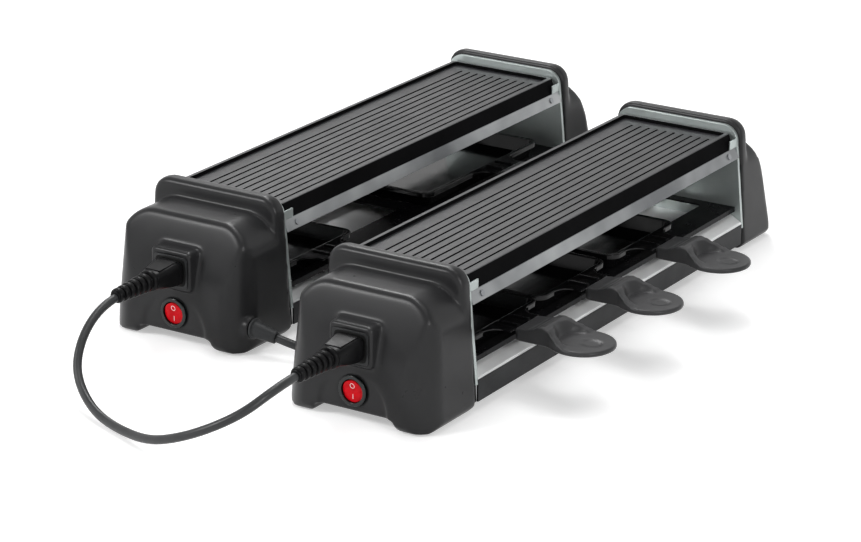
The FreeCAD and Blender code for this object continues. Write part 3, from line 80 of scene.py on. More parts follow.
class Shader:
    """A material's node tree with short ways to add and join nodes."""

    def __init__(self, name):
        self.material = bpy.data.materials.new(name)
        self.material.use_nodes = True
        self.tree = self.material.node_tree
        self.surface = self.tree.nodes["Principled BSDF"]
        self.place = self.add("ShaderNodeTexCoord").outputs["Object"]

    def add(self, kind, **values):
        """A new node; a value goes to its setting or to its socket of that name."""
        node = self.tree.nodes.new(kind)
        for word, value in values.items():
            if hasattr(node, word):
                setattr(node, word, value)
            else:
                node.inputs[word].default_value = value
        return node

    def link(self, start, end):
        self.tree.links.new(start, end)

    def scaled(self, scale):
        """The object's coordinates, stretched along each axis."""
        mapping = self.add("ShaderNodeMapping")
        self.link(self.place, mapping.inputs["Vector"])
        mapping.inputs["Scale"].default_value = scale
        return mapping.outputs["Vector"]

    def noise(self, scale, detail=3.0, roughness=0.55, vector=None):
        node = self.add("ShaderNodeTexNoise", Scale=scale, Detail=detail, Roughness=roughness)
        self.link(vector or self.place, node.inputs["Vector"])
        return node.outputs["Fac"]

    def span(self, value, low, high, start=0.3, end=0.7):
        """A value from start..end spread to low..high."""
        node = self.add("ShaderNodeMapRange")
        node.inputs["From Min"].default_value = start
        node.inputs["From Max"].default_value = end
        node.inputs["To Min"].default_value = low
        node.inputs["To Max"].default_value = high
        self.link(value, node.inputs["Value"])
        return node.outputs["Result"]

    def mix(self, factor, first, second):
        """A colour between two, by a factor."""
        node = self.add("ShaderNodeMix", data_type="RGBA")
        node.inputs[6].default_value = (*first, 1.0)
        node.inputs[7].default_value = (*second, 1.0)
        self.link(factor, node.inputs[0])
        return node.outputs[2]

    def bump(self, height, distance, strength=1.0, normal=None):
        node = self.add("ShaderNodeBump", Distance=distance, Strength=strength)
        self.link(height, node.inputs["Height"])
        if normal is not None:
            self.link(normal, node.inputs["Normal"])
        return node.outputs["Normal"]

    def rounded(self, radius):
        """A normal that rounds sharp edges by a radius, or None for no radius."""
        if not radius:
            return None
        bevel = self.add("ShaderNodeBevel", samples=6)
        bevel.inputs["Radius"].default_value = radius
        return bevel.outputs["Normal"]


def linear(code):
    """A colour written as six hex digits, as the linear values that nodes take."""
    values = [int(code[i:i + 2], 16) / 255 for i in (0, 2, 4)]
    return tuple(v / 12.92 if v <= 0.04045 else ((v + 0.055) / 1.055) ** 2.4 for v in values)


# How many times finer the smears in a finish are than its colour patches
SMEAR_SCALE = 4.3


def plain(
    name, dark, light, rough, metal=0.0, patch=14.0, grain=900.0, depth=0.00003, edge=0.0, specular=None
):
    """A finish with slow colour patches, uneven roughness and a fine grain in its normal."""
    shader = Shader(name)
    patches = shader.noise(patch, 4.0)
    colour = shader.mix(shader.span(patches, 0.0, 1.0), linear(dark), linear(light))
    shader.link(colour, shader.surface.inputs["Base Color"])
    smear = shader.noise(patch * SMEAR_SCALE, 5.0, 0.6)
    shader.link(shader.span(smear, *rough), shader.surface.inputs["Roughness"])
    normal = shader.rounded(edge)
    if depth:
        normal = shader.bump(shader.noise(grain, 2.0, 0.6), depth, 1.0, normal)
    if normal is not None:
        shader.link(normal, shader.surface.inputs["Normal"])
    shader.surface.inputs["Metallic"].default_value = metal
    if specular is not None:
        shader.surface.inputs["Specular IOR Level"].default_value = specular
    return shader.material


BRUSH_DEPTH = 0.000002
BRUSH_STRENGTH = 0.15


def brushed(name, dark, light, rough, stretch, metal=1.0, edge=0.0, cloud=22.0):
    """A metal brushed along one axis; stretch gives the noise scale along X, Y and Z."""
    shader = Shader(name)
    lines = shader.noise(1.0, 4.0, 0.6, shader.scaled(stretch))
    clouds = shader.noise(cloud, 3.0)
    colour = shader.mix(shader.span(clouds, 0.0, 1.0), linear(dark), linear(light))
    shader.link(colour, shader.surface.inputs["Base Color"])
    shader.link(shader.span(lines, *rough), shader.surface.inputs["Roughness"])
    normal = shader.bump(lines, BRUSH_DEPTH, BRUSH_STRENGTH, shader.rounded(edge))
    shader.link(normal, shader.surface.inputs["Normal"])
    shader.surface.inputs["Metallic"].default_value = metal
    return shader.material


# Each finish: its maker, darkest and lightest colour, lowest and highest roughness, the rest.
# Depth and edge are in metres; patch, grain, cloud and stretch are scales of noise.
FINISH_TABLE = {
    "housing_plastic": (plain, "232324", "2b2b2c", (0.27, 0.35), {
        "patch": 11.0, "grain": 2600.0, "depth": 0.000002, "specular": 0.19,
    }),
    "plate_steel": (brushed, "a9b1b0", "bcc4c2", (0.3, 0.4), {
        "stretch": (20.0, 700.0, 30.0), "metal": 0.65, "edge": 0.0006,
    }),
    "rail_aluminium": (brushed, "6a6c6e", "acaeaf", (0.28, 0.4), {
        "stretch": (1800.0, 30.0, 1800.0), "edge": 0.0004, "cloud": 11.0,
    }),
    "screw_steel": (plain, "85878a", "a0a2a5", (0.25, 0.4), {
        "metal": 1.0, "grain": 1500.0, "edge": 0.0003,
    }),
    "element_steel": (plain, "2c2a29", "453f3b", (0.42, 0.6), {
        "metal": 0.9, "patch": 40.0, "grain": 1800.0, "depth": 0.00005,
    }),
    "strap_steel": (brushed, "6f7072", "8a8b8d", (0.3, 0.5), {
        "stretch": (900.0, 40.0, 900.0),
    }),
    "grill_cast": (plain, "17171a", "212124", (0.3, 0.46), {
        "patch": 9.0, "grain": 1000.0, "depth": 0.00009, "edge": 0.0007, "specular": 0.42,
    }),
    "shelf_paint": (plain, "0d0d0f", "141416", (0.2, 0.3), {
        "grain": 1900.0, "depth": 0.00001, "edge": 0.0004, "specular": 0.06,
    }),
    "reflector": (brushed, "e4e5e5", "f6f7f7", (0.3, 0.36), {
        "stretch": (90.0, 12.0, 90.0), "metal": 0.35, "cloud": 14.0,
    }),
    "base_paint": (plain, "1b1c1e", "232426", (0.3, 0.42), {
        "grain": 1600.0, "edge": 0.0005, "specular": 0.15,
    }),
    "cover_plastic": (plain, "0e0f10", "151617", (0.35, 0.5), {
        "edge": 0.0005, "specular": 0.35,
    }),
    "pan_coating": (plain, "0a0a0b", "101011", (0.08, 0.16), {
        "patch": 22.0, "grain": 1500.0, "depth": 0.000006, "edge": 0.0005, "specular": 0.22,
    }),
    "grip_plastic": (plain, "343435", "3d3d3e", (0.28, 0.36), {
        "patch": 30.0, "grain": 2400.0, "depth": 0.000008, "specular": 0.16,
    }),
    "socket_plastic": (plain, "242526", "2c2d2e", (0.3, 0.42), {
        "edge": 0.0006, "specular": 0.25,
    }),
    "pin_brass": (plain, "b08a45", "c9a25a", (0.2, 0.32), {
        "metal": 1.0,
    }),
    "bezel_plastic": (plain, "060b0b", "0c1212", (0.18, 0.28), {
        "depth": 0.0, "edge": 0.0006, "specular": 0.4,
    }),
    "rocker_plastic": (plain, "b8040f", "dc0d1c", (0.14, 0.22), {
        "patch": 120.0, "depth": 0.0, "edge": 0.0004, "specular": 0.08,
    }),
    "terminal_plastic": (plain, "d6d2c6", "e4e1d8", (0.4, 0.55), {
        "edge": 0.0003,
    }),
    "foot_rubber": (plain, "131313", "1b1b1b", (0.6, 0.8), {
        "depth": 0.00006,
    }),
    "lead_rubber": (plain, "2a2b2c", "38393a", (0.3, 0.42), {
        "patch": 60.0, "grain": 1500.0, "depth": 0.00002, "specular": 0.3,
    }),
    "connector_rubber": (plain, "0c0c0d", "151516", (0.26, 0.36), {
        "patch": 40.0, "grain": 2200.0, "depth": 0.000003, "specular": 0.1,
    }),
    "tie_plastic": (plain, "101011", "191919", (0.3, 0.45), {}),
    # painted shade: the grill plate's steep sides, darker and nearly without gloss
    "grill_skirt": (plain, "0b0b0c", "111112", (0.5, 0.62), {
        "patch": 12.0, "grain": 1500.0, "depth": 0.00003, "specular": 0.01,
    }),
    # painted shadow: the flat black of the plate inside a connector's frame
    "painted_shadow_black": (plain, "040404", "070707", (0.4, 0.55), {
        "depth": 0.0, "specular": 0.1,
    }),
    "relief_grey": (plain, "303132", "3a3b3c", (0.34, 0.46), {
        "patch": 40.0, "depth": 0.00002, "specular": 0.15,
    }),
    "mark_white": (plain, "f4ecec", "fdf8f8", (0.3, 0.4), {
        "depth": 0.0,
    }),
}
FINISHES = {
    name: maker(name, dark, light, rough, **rest)
    for name, (maker, dark, light, rough, rest) in FINISH_TABLE.items()
}

for entry in frame["record"]["subparts"]:
    piece = frame["nodes"][entry["node"]]
    piece.data.materials.clear()
    piece.data.materials.append(FINISHES[entry["material_slot"]])


# Pieces

def put(name, data, body, slot, *nodes, finish=None):
    """A piece that rides on a body and may stand for nodes; finish is its look if not the slot's."""
    piece = bpy.data.objects.new(name, data)
    scene.collection.objects.link(piece)
    data.materials.clear()
    data.materials.append(FINISHES[finish or slot])
    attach(piece, body)
    if nodes:
        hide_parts(*nodes)
    return piece


def moulded(node, body, slot, voxel, passes, keep=1.0, finish=None):
    """A node's shape with the soft edges of a moulding; voxel in metres, keep a share of faces."""
    copy = bpy.data.objects.new("copy", frame["nodes"][node].data.copy())
    scene.collection.objects.link(copy)
    remesh = copy.modifiers.new("remesh", "REMESH")
    remesh.mode = "VOXEL"
    remesh.voxel_size = voxel
    smooth = copy.modifiers.new("smooth", "SMOOTH")
    smooth.factor = 0.5
    smooth.iterations = passes
    if keep < 1.0:
        thin = copy.modifiers.new("thin", "DECIMATE")
        thin.ratio = keep
    copy.data.materials.clear()
    graph = bpy.context.evaluated_depsgraph_get()
    mesh = bpy.data.meshes.new_from_object(copy.evaluated_get(graph))
    bpy.data.objects.remove(copy)
    mesh.name = node + "_moulding"
    mesh.shade_smooth()
    return put(node + "_moulding", mesh, body, slot, node, finish=finish)


for unit in UNITS:
    moulded(unit + "_control_housing", BASE, "housing_plastic", 0.0013, 14)
    moulded(unit + "_far_housing", BASE, "housing_plastic", 0.0014, 12)
relief = moulded("mains_strain_relief", BASE, "connector_rubber", 0.0006, 5, finish="relief_grey")
plug = moulded("mains_plug", BASE, "connector_rubber", 0.0009, 6, keep=0.5)


def ring(middle, half_x, half_z, power, count=40):
    """Points of a rounded outline about a middle, square for a high power and round for 2."""
    points = []
    for index in range(count):
        angle = 2 * math.pi * (index + 0.5) / count
        across = math.copysign(abs(math.cos(angle)) ** (2 / power), math.cos(angle))
        high = math.copysign(abs(math.sin(angle)) ** (2 / power), math.sin(angle))
        points.append(middle + Vector((half_x * across, 0, half_z * high)))
    return points


def loft(rings):
    """A closed skin through rings of equally many points."""
    mesh = bpy.data.meshes.new("loft")
    count = len(rings[0])
    last = (len(rings) - 1) * count
    faces = [tuple(range(count))]
    for low in range(0, last, count):
        high = low + count
        for index in range(count):
            after = (index + 1) % count
            faces.append((low + index, low + after, high + after, high + index))
    faces.append(tuple(range(last + count - 1, last - 1, -1)))
    mesh.from_pydata([point for ring_points in rings for point in ring_points], [], faces)
    work = bmesh.new()
    work.from_mesh(mesh)
    bmesh.ops.recalc_face_normals(work, faces=work.faces)
    work.to_mesh(mesh)
    work.free()
    mesh.shade_smooth()
    return mesh


# Connectors: moulded bodies on an axis that runs away from the bay, along -Y

# Height of the axis, in metres
CONNECTOR_HIGH = 0.0586
# Body and collar: distance from the bay's end, half width, half height, squareness
CONNECTOR_BODY = (
    (70.9, 11.6, 8.9, 5.0),
    (71.6, 12.0, 9.3, 5.0),
    (76.0, 11.9, 9.2, 5.0),
    (83.0, 10.9, 8.4, 4.5),
    (90.0, 9.5, 7.3, 4.0),
    (95.0, 8.6, 6.7, 3.2),
    (95.6, 8.5, 6.6, 3.0),
    (95.8, 8.4, 7.6, 2.4),
    (96.4, 8.7, 8.1, 2.2),
    (98.2, 8.6, 8.0, 2.1),
    (98.9, 8.1, 7.6, 2.0),
    (99.1, 5.8, 5.8, 2.0),
)
RIBS = 6
RIB_START = 101.0
RIB_PITCH = 6.1
RIB_RADIUS = 7.4
RIB_SHRINK = 0.36
# A rib: distance from its start, and how far the skin lies under the rib's radius
RIB_PROFILE = (
    (-0.2, 2.6),
    (0.0, 0.9),
    (0.4, 0.3),
    (1.2, 0.0),
    (3.4, 0.0),
    (4.2, 0.3),
    (4.6, 0.9),
    (4.8, 2.6),
)
# The end of the relief: distance from the bay's end, radius
RELIEF_END = ((137.0, 4.4), (137.6, 4.0), (137.7, 3.3))
CREASE = math.radians(50)

# The shallow panel on a connector: corners, the way inwards at each, lift and inset of its
# levels, and its height over the axis, which falls away from the bay
PANEL_START = -73.5
PANEL_CORNERS = ((-8.6, PANEL_START), (8.6, PANEL_START), (6.4, -92.0), (-6.4, -92.0))
PANEL_INWARDS = ((1, -1), (-1, -1), (-1, 1), (1, 1))
PANEL_LEVELS = ((-0.6, 0.0), (0.35, 0.0), (0.6, 0.3))
PANEL_HIGH = 9.2
PANEL_SLOPE = 0.118


def connector_panel(name, unit):
    rings = []
    for lift, inset in PANEL_LEVELS:
        points = []
        for (x, y), (turn_x, turn_y) in zip(PANEL_CORNERS, PANEL_INWARDS):
            high = PANEL_HIGH + lift + (y - PANEL_START) * PANEL_SLOPE
            points.append(unit + Vector((
                (x + turn_x * inset) / 1000,
                (y + turn_y * inset) / 1000,
                CONNECTOR_HIGH + high / 1000,
            )))
        rings.append(points)
    mesh = loft(rings)
    mesh.shade_flat()
    put(name, mesh, BASE, "connector_rubber")


def connector(name, unit, node):
    """A moulded connector: body, collar and ribbed relief."""
    rows = list(CONNECTOR_BODY)
    for number in range(RIBS):
        start = RIB_START + RIB_PITCH * number
        radius = RIB_RADIUS - RIB_SHRINK * number
        rows += [(start + along, radius - under, radius - under, 2.0) for along, under in RIB_PROFILE]
    rows += [(away, radius, radius, 2.0) for away, radius in RELIEF_END]
    rings = []
    for away, half_x, half_z, power in rows:
        middle = unit + Vector((0, -away / 1000, CONNECTOR_HIGH))
        rings.append(ring(middle, half_x / 1000, half_z / 1000, power))
    mesh = loft(rings)
    mesh.set_sharp_from_angle(angle=CREASE)
    connector_panel(name + "_panel", unit)
    return put(name, mesh, BASE, "connector_rubber", node)


# A flat black plate inside a connector's frame, a painted shadow in the gap round the plug: distance
# from the bay's end, inset
SHADOW_PLATE_LEVELS = ((70.3, 0.0), (70.6, 0.0), (70.7, 0.15))
SHADOW_PLATE_HALF = (13.5, 10.7)
SHADOW_PLATE_POWER = 7.0


# A flat black plate that paints the shadow in the gap inside a connector's frame
def painted_shadow_plate(name, unit):
    rings = []
    for away, inset in SHADOW_PLATE_LEVELS:
        middle = unit + Vector((0, -away / 1000, CONNECTOR_HIGH))
        half_x, half_z = [(half - inset) / 1000 for half in SHADOW_PLATE_HALF]
        rings.append(ring(middle, half_x, half_z, SHADOW_PLATE_POWER))
    put(name, loft(rings), BASE, "socket_plastic", finish="painted_shadow_black")


painted_shadow_plate("front_inlet_painted_shadow", FRONT)
painted_shadow_plate("rear_outlet_painted_shadow", REAR)
link_connector = connector("link_connector_moulding", FRONT, "link_connector")
link_plug = connector("link_plug_moulding", REAR, "link_plug")


# Grips: a block with a hood, a round scoop and a paddle with a hollow for the thumb.
# X and Z go from the unit's origin, Y from the middle of the pan's neck.

GRIP_START = 67.0
GRIP_FOOT = 42.3
GRIP_MIDDLE = 100.0
BLOCK_HALF = 16.4
BLOCK_ROUND = 3.0
BLOCK_END = 100.0
BLOCK_TAPER = 3.0
# How softly the block's sides run into the paddle before a place, and after it
JOIN_PLACE = 112
JOIN_SOFT = 3.0
JOIN_CRISP = 0.2
PADDLE_X = 114.0
PADDLE_RADIUS = 24.0
PADDLE_TOP = 46.2
BOWL_X = 109.5
BOWL_RADIUS = 17.5
BOWL_FOOT = 12.6
THUMB_X = 121.0
THUMB_REACH = (9.5, 8.6)
THUMB_DEPTH = 0.75
# Shares of the hollow's reach: its flat middle and the slope round it
THUMB_FLAT = 0.55
THUMB_SLOPE = 0.45
EDGE_ROUND = 1.7
# The upper line along a grip: place, height
GRIP_LINE = (
    (66, 51.2),
    (76, 51.6),
    (81, 52.8),
    (86, 55.2),
    (90, 55.9),
    (94, 55.0),
    (100, 51.4),
    (106, 48.2),
    (111, PADDLE_TOP),
    (140, PADDLE_TOP),
)
# Points of the plan: on the end face, round its corner, along the side, round the paddle
END_PLACES = (3.0, 7.0, 11.0)
CORNER_ANGLES = (10, 25, 40, 55, 70, 90)
SIDE_START = 72.0
SIDE_STEP = 1.6
SIDE_POINTS = 18
PADDLE_ANGLES = range(120, 0, -5)
# Rings of the skin: share of the plan and height over the foot, then shares on the top side
FOOT_RINGS = ((0.02, 0.0), (0.5, 0.0), (0.93, 0.0), (0.965, 0.15), (0.99, 0.7), (1.0, 1.6))
EDGE_SHARES = (1.0, 0.996, 0.99, 0.982, 0.972, 0.958)
TOP_SHARE = 0.94
TOP_STEP = 0.025
TOP_RINGS = 38


def smooth_step(value):
    value = min(1.0, max(0.0, value))
    return value * value * (3 - 2 * value)


def grip_half(x):
    """Half width of a grip at x: the block runs into the round paddle."""
    disc = math.sqrt(max(0.0, PADDLE_RADIUS ** 2 - (x - PADDLE_X) ** 2))
    block = BLOCK_HALF - BLOCK_TAPER * max(0.0, x - BLOCK_END)
    if x < GRIP_START + BLOCK_ROUND:
        block -= BLOCK_ROUND - math.sqrt(BLOCK_ROUND ** 2 - (GRIP_START + BLOCK_ROUND - x) ** 2)
    return (block + disc + math.hypot(block - disc, JOIN_SOFT if x < JOIN_PLACE else JOIN_CRISP)) / 2


def grip_top(x, y):
    """Height of a grip's upper side."""
    line = GRIP_LINE[-1][1]
    for (x0, z0), (x1, z1) in zip(GRIP_LINE, GRIP_LINE[1:]):
        if x0 <= x <= x1:
            line = z0 + (z1 - z0) * smooth_step((x - x0) / (x1 - x0))
            break
    wall = smooth_step((math.hypot(x - BOWL_X, y) - BOWL_FOOT) / (BOWL_RADIUS - BOWL_FOOT))
    thumb = math.hypot((x - THUMB_X) / THUMB_REACH[0], y / THUMB_REACH[1])
    dip = THUMB_DEPTH * (1 - smooth_step((thumb - THUMB_FLAT) / THUMB_SLOPE))
    return PADDLE_TOP + (line - PADDLE_TOP) * wall - dip


def grip_outline():
    """The grip's plan, counter-clockwise from the middle of its inner end."""
    places = [GRIP_START + BLOCK_ROUND * (1 - math.cos(math.radians(a))) for a in CORNER_ANGLES]
    places += [SIDE_START + SIDE_STEP * number for number in range(SIDE_POINTS)]
    places += [PADDLE_X + PADDLE_RADIUS * math.cos(math.radians(a)) for a in PADDLE_ANGLES]
    side = [(GRIP_START, y) for y in END_PLACES] + [(x, grip_half(x)) for x in places]
    tip = [(PADDLE_X + PADDLE_RADIUS, 0.0)]
    return [(x, -y) for x, y in side] + tip + [(x, y) for x, y in reversed(side)]


def grip_ring(outline, origin, share, height=None):
    """The plan drawn in by a share, at a height or on the grip's upper side."""
    points = []
    for x, y in outline:
        px = GRIP_MIDDLE + (x - GRIP_MIDDLE) * share
        py = y * share
        high = height
        if height is None:
            edge = (1 - share) * math.hypot(x - GRIP_MIDDLE, y)
            drop = max(0.0, EDGE_ROUND - edge)
            fall = EDGE_ROUND - math.sqrt(max(0.0, EDGE_ROUND ** 2 - drop ** 2))
            high = grip_top(px, py) - fall
        points.append(origin + Vector((px, py, high)) / 1000)
    return points


def grip(name, origin, body, node):
    outline = grip_outline()
    rings = [grip_ring(outline, origin, share, GRIP_FOOT + rise) for share, rise in FOOT_RINGS]
    shares = [*EDGE_SHARES, *(TOP_SHARE - TOP_STEP * step for step in range(TOP_RINGS))]
    rings += [grip_ring(outline, origin, share) for share in shares]
    put(name, loft(rings), body, "grip_plastic", node)


# Pans: a turned rim round each

PAN_X = 2.0
PAN_HALF = 48.0
RIM_ROUND = 10.4
RIM_STEPS = 8
NECK_SPAN = 31.8
# The rim's section: how far out from the pan's wall, height
RIM_PROFILE = (
    (-0.1, 46.2),
    (0.15, 46.6),
    (0.15, 49.5),
    (-0.2, 50.15),
    (-0.8, 50.2),
    (-0.95, 49.9),
    (-0.75, 49.4),
    (-0.75, 46.3),
)
# Each pan: the middle along the bay, half its length, how far its neck is off the middle
PANS = {
    "front": ((56.5, 50.0, 0.0), (157.7, 50.0, 0.0), (266.5, 50.0, 0.0)),
    "rear": ((53.0, 50.0, 0.0), (296.5, 88.0, 10.5)),
}


def pan_rim(name, origin, body, middle, half_length, neck):
    """The turned-down rim, from one side of the neck round to the other."""
    path = [(PAN_X + PAN_HALF, middle + neck + NECK_SPAN, 1.0, 0.0)]
    for corner, (side_x, side_y) in enumerate(((1, 1), (-1, 1), (-1, -1), (1, -1))):
        centre_x = PAN_X + side_x * (PAN_HALF - RIM_ROUND)
        centre_y = middle + side_y * (half_length - RIM_ROUND)
        for step in range(RIM_STEPS + 1):
            angle = math.radians(corner * 90 + step * 90 / RIM_STEPS)
            out_x = math.cos(angle)
            out_y = math.sin(angle)
            path.append((centre_x + RIM_ROUND * out_x, centre_y + RIM_ROUND * out_y, out_x, out_y))
    path.append((PAN_X + PAN_HALF, middle + neck - NECK_SPAN, 1.0, 0.0))
    rings = [
        [origin + Vector((x + out_x * off, y + out_y * off, high)) / 1000 for off, high in RIM_PROFILE]
        for x, y, out_x, out_y in path
    ]
    mesh = loft(rings)
    mesh.shade_flat()
    put(name, mesh, body, "pan_coating")


for unit, origin in UNITS.items():
    for number, (middle, half_length, neck) in enumerate(PANS[unit], 1):
        body = f"{unit}_pan_{number}_assembly"
        node = f"{unit}_pan_grip_{number}"
        grip(node + "_moulding", origin + Vector((0, middle + neck, 0)) / 1000, body, node)
        pan_rim(f"{unit}_pan_{number}_rim", origin, body, middle, half_length, neck)


# Grill plates: the steep sides get a darker, duller finish, which is painted shade

STEEP = 0.75
for unit in UNITS:
    node = unit + "_grill_plate"
    mesh = frame["nodes"][node].data.copy()
    put(node + "_casting", mesh, unit + "_plate", "grill_cast", node)
    mesh.materials.append(FINISHES["grill_skirt"])
    for face in mesh.polygons:
        # steep faces take the painted shade finish
        face.material_index = 1 if face.normal.z < STEEP else 0


# Reflector trays: sloping sides

TRAY_ENDS = (0.4, 407.6)
TRAY_SIDE = (
    (61.3, 24.92),
    (61.3, 25.5),
    (60.9, 26.0),
    (47.6, 33.3),
    (45.4, 33.3),
    (45.4, 32.6),
    (47.2, 32.6),
    (60.2, 25.4),
    (60.4, 24.92),
)
for unit, origin in UNITS.items():
    for word, side in (("right", 1), ("left", -1)):
        rings = [[origin + Vector((x * side, y, z)) / 1000 for x, z in TRAY_SIDE] for y in TRAY_ENDS]
        mesh = loft(rings)
        mesh.shade_flat()
        put(f"{unit}_tray_{word}_side", mesh, BASE, "reflector")


# Marks on the rockers

# Half the thickness of a mark's line and the place of the hinge, in metres
MARK_RADIUS = 0.00021
ROCKER_HINGE = (0, -0.0645, 0.0245)
ROCKER_LEAN = math.radians(7.0)
# How far the rocker's face lies before its hinge, and its further growth with the height
FACE_PROUD = 2.3
FACE_BOW = 0.095
CIRCLE_HALF = (1.7, 1.9)
CIRCLE_HIGH = 4.2
CIRCLE_POINTS = 24
OFF_MARK = [
    (
        CIRCLE_HALF[0] * math.cos(math.radians(360 / CIRCLE_POINTS * number)),
        CIRCLE_HIGH + CIRCLE_HALF[1] * math.sin(math.radians(360 / CIRCLE_POINTS * number)),
    )
    for number in range(CIRCLE_POINTS)
]
ON_MARK = [(0, -2.2), (0, -6.0)]


def mark(name, points, closed, body, middle):
    """A raised white line on a rocker, its points given across and up from the hinge."""
    curve = bpy.data.curves.new(name, "CURVE")
    curve.dimensions = "3D"
    curve.bevel_depth = MARK_RADIUS
    curve.bevel_resolution = 3
    spline = curve.splines.new("POLY")
    spline.points.add(len(points) - 1)
    spline.use_cyclic_u = closed
    lean = Matrix.Rotation(ROCKER_LEAN, 3, "X")
    for spot, (across, high) in zip(spline.points, points):
        local = Vector((across, -FACE_PROUD - abs(high) * FACE_BOW, high)) / 1000
        spot.co = (*(middle + lean @ local), 1.0)
    put(name, curve, body, "rocker_plastic", finish="mark_white")


for unit, origin in UNITS.items():
    hinge = origin + Vector(ROCKER_HINGE)
    mark(unit + "_off_mark", OFF_MARK, True, unit + "_rocker", hinge)
    mark(unit + "_on_mark", ON_MARK, False, unit + "_rocker", hinge)


# Leads: control points in millimetres from the front unit's origin, radius in metres

LEAD_RADIUS = 0.00325


def lead(name, points, *nodes):
    """A smooth lead along its control points, in place of nodes of the frame."""
    curve = bpy.data.curves.new(name, "CURVE")
    curve.dimensions = "3D"
    curve.bevel_depth = LEAD_RADIUS
    curve.bevel_resolution = 8
    curve.resolution_u = 12
    spline = curve.splines.new("NURBS")
    spline.points.add(len(points) - 1)
    for spot, point in zip(spline.points, points):
        spot.co = (*(FRONT + Vector(point) / 1000), 1.0)
    spline.order_u = 3
    spline.use_endpoint_u = True
    return put(name, curve, BASE, "lead_rubber", *nodes)


LINK = (
    (0, -115, 58.6),
    (0, -138, 58.6),
    (-2, -163, 55),
    (-12, -181, 44),
    (-30, -191.5, 33),
    (-54, -195, 21.5),
    (-84, -189.5, 10),
    (-117, -176.5, 4.6),
    (-149, -164, 5.2),
    (-173, -150.5, 13),
    (-187.5, -139, 25.5),
    (-193.5, -124, 41),
    (-196.3, -104, 53),
    (-196.8, -80, 58.6),
    (-196.8, -57.6, 58.6),
)
link = lead("link_lead_run", LINK, "link_lead")

# The mains lead starts inside the tip of its strain relief and runs to the coil.
RELIEF_BASE = Vector((-134.4, 4.4, 20.7))
RELIEF_TIP = Vector((-115.8, 7.4, 16.0))
RELIEF_WAY = (RELIEF_TIP - RELIEF_BASE).normalized()
MAINS_START = RELIEF_TIP - RELIEF_WAY * 8.0
MAINS_RUN = (
    MAINS_START,
    MAINS_START + RELIEF_WAY * 12.0,
    (-100.5, 10.6, 11.8),
    (-89, 18, 8.2),
    (-81.5, 32, 6),
    (-78.8, 54, 5),
    (-79.6, 95, 4.7),
    (-77.6, 172, 4.9),
    (-79.4, 250, 4.6),
    (-77.8, 330, 4.8),
    (-79, 392, 4.7),
    (-77.6, 436, 4.8),
    (-76.4, 464, 4.75),
    (-76.1, 486, 4.7),
)
COIL_MIDDLE = Vector((-35.0, 513.0, 0.0))
COIL_LOW = 4.7
COIL_HIGH = 11.9
# Left and right crossings of the coil's loops, from its middle, with their heights:
# inwards on the floor, a climb, outwards above.
CROSSINGS = (
    (-41.2, COIL_LOW),
    (37.65, COIL_LOW),
    (-34.1, COIL_LOW),
    (30.6, COIL_LOW),
    (-27.05, COIL_LOW),
    (23.5, COIL_HIGH),
    (-30.6, COIL_HIGH),
    (34.15, COIL_HIGH),
    (-37.7, COIL_HIGH),
)
HALF_TURN_POINTS = 8
MAINS_TAIL = (
    (-72.7, 519.5, COIL_HIGH),
    (-72.7, 529, COIL_HIGH),
    (-73.4, 539, 13.2),
    (-74.4, 549, 16.5),
    (-75, 559, 19.6),
    (-75, 570, 19.6),
)


def coil_points():
    """Control points of the coil, half a turn from each crossing to the next."""
    points = []
    for number, (begin, end) in enumerate(zip(CROSSINGS, CROSSINGS[1:])):
        middle = (begin[0] + end[0]) / 2
        radius = abs(end[0] - begin[0]) / 2
        stretch = radius / math.cos(math.pi / HALF_TURN_POINTS / 2)
        way_x = -1.0 if begin[0] < middle else 1.0
        way_y = 1.0 if number % 2 == 0 else -1.0
        for step in range(HALF_TURN_POINTS):
            share = (step + 0.5) / HALF_TURN_POINTS
            angle = math.pi * share
            points.append(COIL_MIDDLE + Vector((
                middle + way_x * stretch * math.cos(angle),
                way_y * stretch * math.sin(angle),
                begin[1] + (end[1] - begin[1]) * share,
            )))
    return points


MAINS = [*MAINS_RUN, *coil_points(), *MAINS_TAIL]
mains = lead("mains_lead_run", MAINS, "mains_lead", "mains_lead_coil", "mains_lead_tail")


# Floor, backdrop and light, in metres

FLOOR_HALF = 12
FLOOR_GREY = (0.8, 0.8, 0.8)
FLOOR_PALER = 1.01
# The floor's glow near the object and far away, and the distances between which it rises
FLOOR_GLOW = (0.42, 0.9)
FLOOR_FADE = (0.9, 3.2)
WORLD_LIGHT = 0.24
# The backdrop is white and greys overhead, between two slopes of the ray that sees it
CEILING_GREY = 0.3
CEILING_SPAN = (0.42, 0.8)


def seen_rays(tree):
    """1 for rays from the camera, from gloss and through glass, else 0."""
    path = tree.nodes.new("ShaderNodeLightPath")
    total = path.outputs["Is Camera Ray"]
    for word in ("Is Glossy Ray", "Is Transmission Ray"):
        add = tree.nodes.new("ShaderNodeMath")
        add.operation = "MAXIMUM"
        tree.links.new(total, add.inputs[0])
        tree.links.new(path.outputs[word], add.inputs[1])
        total = add.outputs[0]
    return total


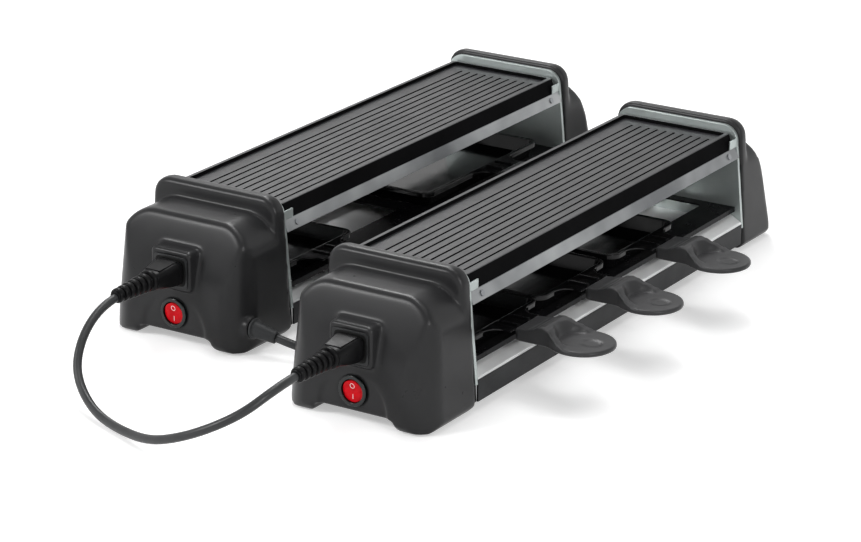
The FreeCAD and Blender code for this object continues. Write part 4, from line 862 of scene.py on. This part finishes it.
def floor_finish(name):
    """A pale floor that shows lighter than it lights the object, and white far away."""
    shader = Shader(name)
    texture = shader.noise(3.0, 3.0)
    paler = [value * FLOOR_PALER for value in FLOOR_GREY]
    shade = shader.mix(shader.span(texture, 0.0, 1.0), FLOOR_GREY, paler)
    diffuse = shader.add("ShaderNodeBsdfDiffuse")
    shader.link(shade, diffuse.inputs["Color"])
    light = shader.add("ShaderNodeEmission")
    distance = shader.add("ShaderNodeVectorMath", operation="LENGTH")
    shader.link(shader.place, distance.inputs[0])
    glow = shader.span(distance.outputs["Value"], *FLOOR_GLOW, *FLOOR_FADE)
    shader.link(glow, light.inputs["Strength"])
    total = shader.add("ShaderNodeAddShader")
    pick = shader.add("ShaderNodeMixShader")
    shader.link(diffuse.outputs[0], total.inputs[0])
    shader.link(light.outputs[0], total.inputs[1])
    shader.link(seen_rays(shader.tree), pick.inputs[0])
    shader.link(diffuse.outputs[0], pick.inputs[1])
    shader.link(total.outputs[0], pick.inputs[2])
    shader.tree.nodes.remove(shader.surface)
    shader.link(pick.outputs[0], shader.tree.nodes["Material Output"].inputs["Surface"])
    return shader.material


floor_corners = [(x * FLOOR_HALF, y * FLOOR_HALF, 0) for x, y in ((-1, -1), (1, -1), (1, 1), (-1, 1))]
floor_mesh = bpy.data.meshes.new("floor")
floor_mesh.from_pydata(floor_corners, [], [(0, 1, 2, 3)])
floor_mesh.materials.append(floor_finish("floor_white"))
floor = bpy.data.objects.new("floor", floor_mesh)
scene.collection.objects.link(floor)


def backdrop(world):
    """A plain world: soft light for the object, white for the rays that see it."""
    world.use_nodes = True
    nodes = world.node_tree.nodes
    links = world.node_tree.links
    nodes.clear()
    way = nodes.new("ShaderNodeTexCoord")
    height = nodes.new("ShaderNodeSeparateXYZ")
    links.new(way.outputs["Generated"], height.inputs[0])
    ceiling = nodes.new("ShaderNodeMapRange")
    ceiling.inputs["From Min"].default_value = CEILING_SPAN[0]
    ceiling.inputs["From Max"].default_value = CEILING_SPAN[1]
    links.new(height.outputs["Z"], ceiling.inputs["Value"])
    shade = nodes.new("ShaderNodeMix")
    shade.data_type = "RGBA"
    shade.inputs[6].default_value = (1, 1, 1, 1)
    shade.inputs[7].default_value = (CEILING_GREY, CEILING_GREY, CEILING_GREY, 1)
    links.new(ceiling.outputs["Result"], shade.inputs[0])
    light = nodes.new("ShaderNodeBackground")
    light.inputs["Color"].default_value = (1, 1, 1, 1)
    light.inputs["Strength"].default_value = WORLD_LIGHT
    white = nodes.new("ShaderNodeBackground")
    links.new(shade.outputs[2], white.inputs["Color"])
    white.inputs["Strength"].default_value = 1.0
    pick = nodes.new("ShaderNodeMixShader")
    links.new(seen_rays(world.node_tree), pick.inputs[0])
    links.new(light.outputs[0], pick.inputs[1])
    links.new(white.outputs[0], pick.inputs[2])
    output = nodes.new("ShaderNodeOutputWorld")
    links.new(pick.outputs[0], output.inputs["Surface"])


scene.world = bpy.data.worlds.new("world")
backdrop(scene.world)

# Each lamp: name, place and target in metres, width and height, power in watts
LAMPS = (
    ("key", (-1.5, -2.0, 1.7), (0, 0, 0.05), (0.8, 0.8), 46.0),
    ("strip", (-0.75, 0.9, 2.1), (0, 0, 0.05), (0.3, 2.4), 30.0),
    ("side", (2.1, -1.25, 1.1), (0, 0, 0.05), (0.3, 1.3), 22.0),
    ("top", (0.3, 0.0, 2.4), (0, 0, 0), (1.8, 1.8), 14.0),
)
for name, place, target, size, power in LAMPS:
    data = bpy.data.lights.new(name, "AREA")
    data.shape = "RECTANGLE"
    data.size = size[0]
    data.size_y = size[1]
    data.energy = power
    item = bpy.data.objects.new(name, data)
    way = (Vector(place) - Vector(target)).normalized()
    item.rotation_euler = way.to_track_quat("Z", "Y").to_euler()
    item.location = place
    scene.collection.objects.link(item)

scene.view_settings.view_transform = "Standard"
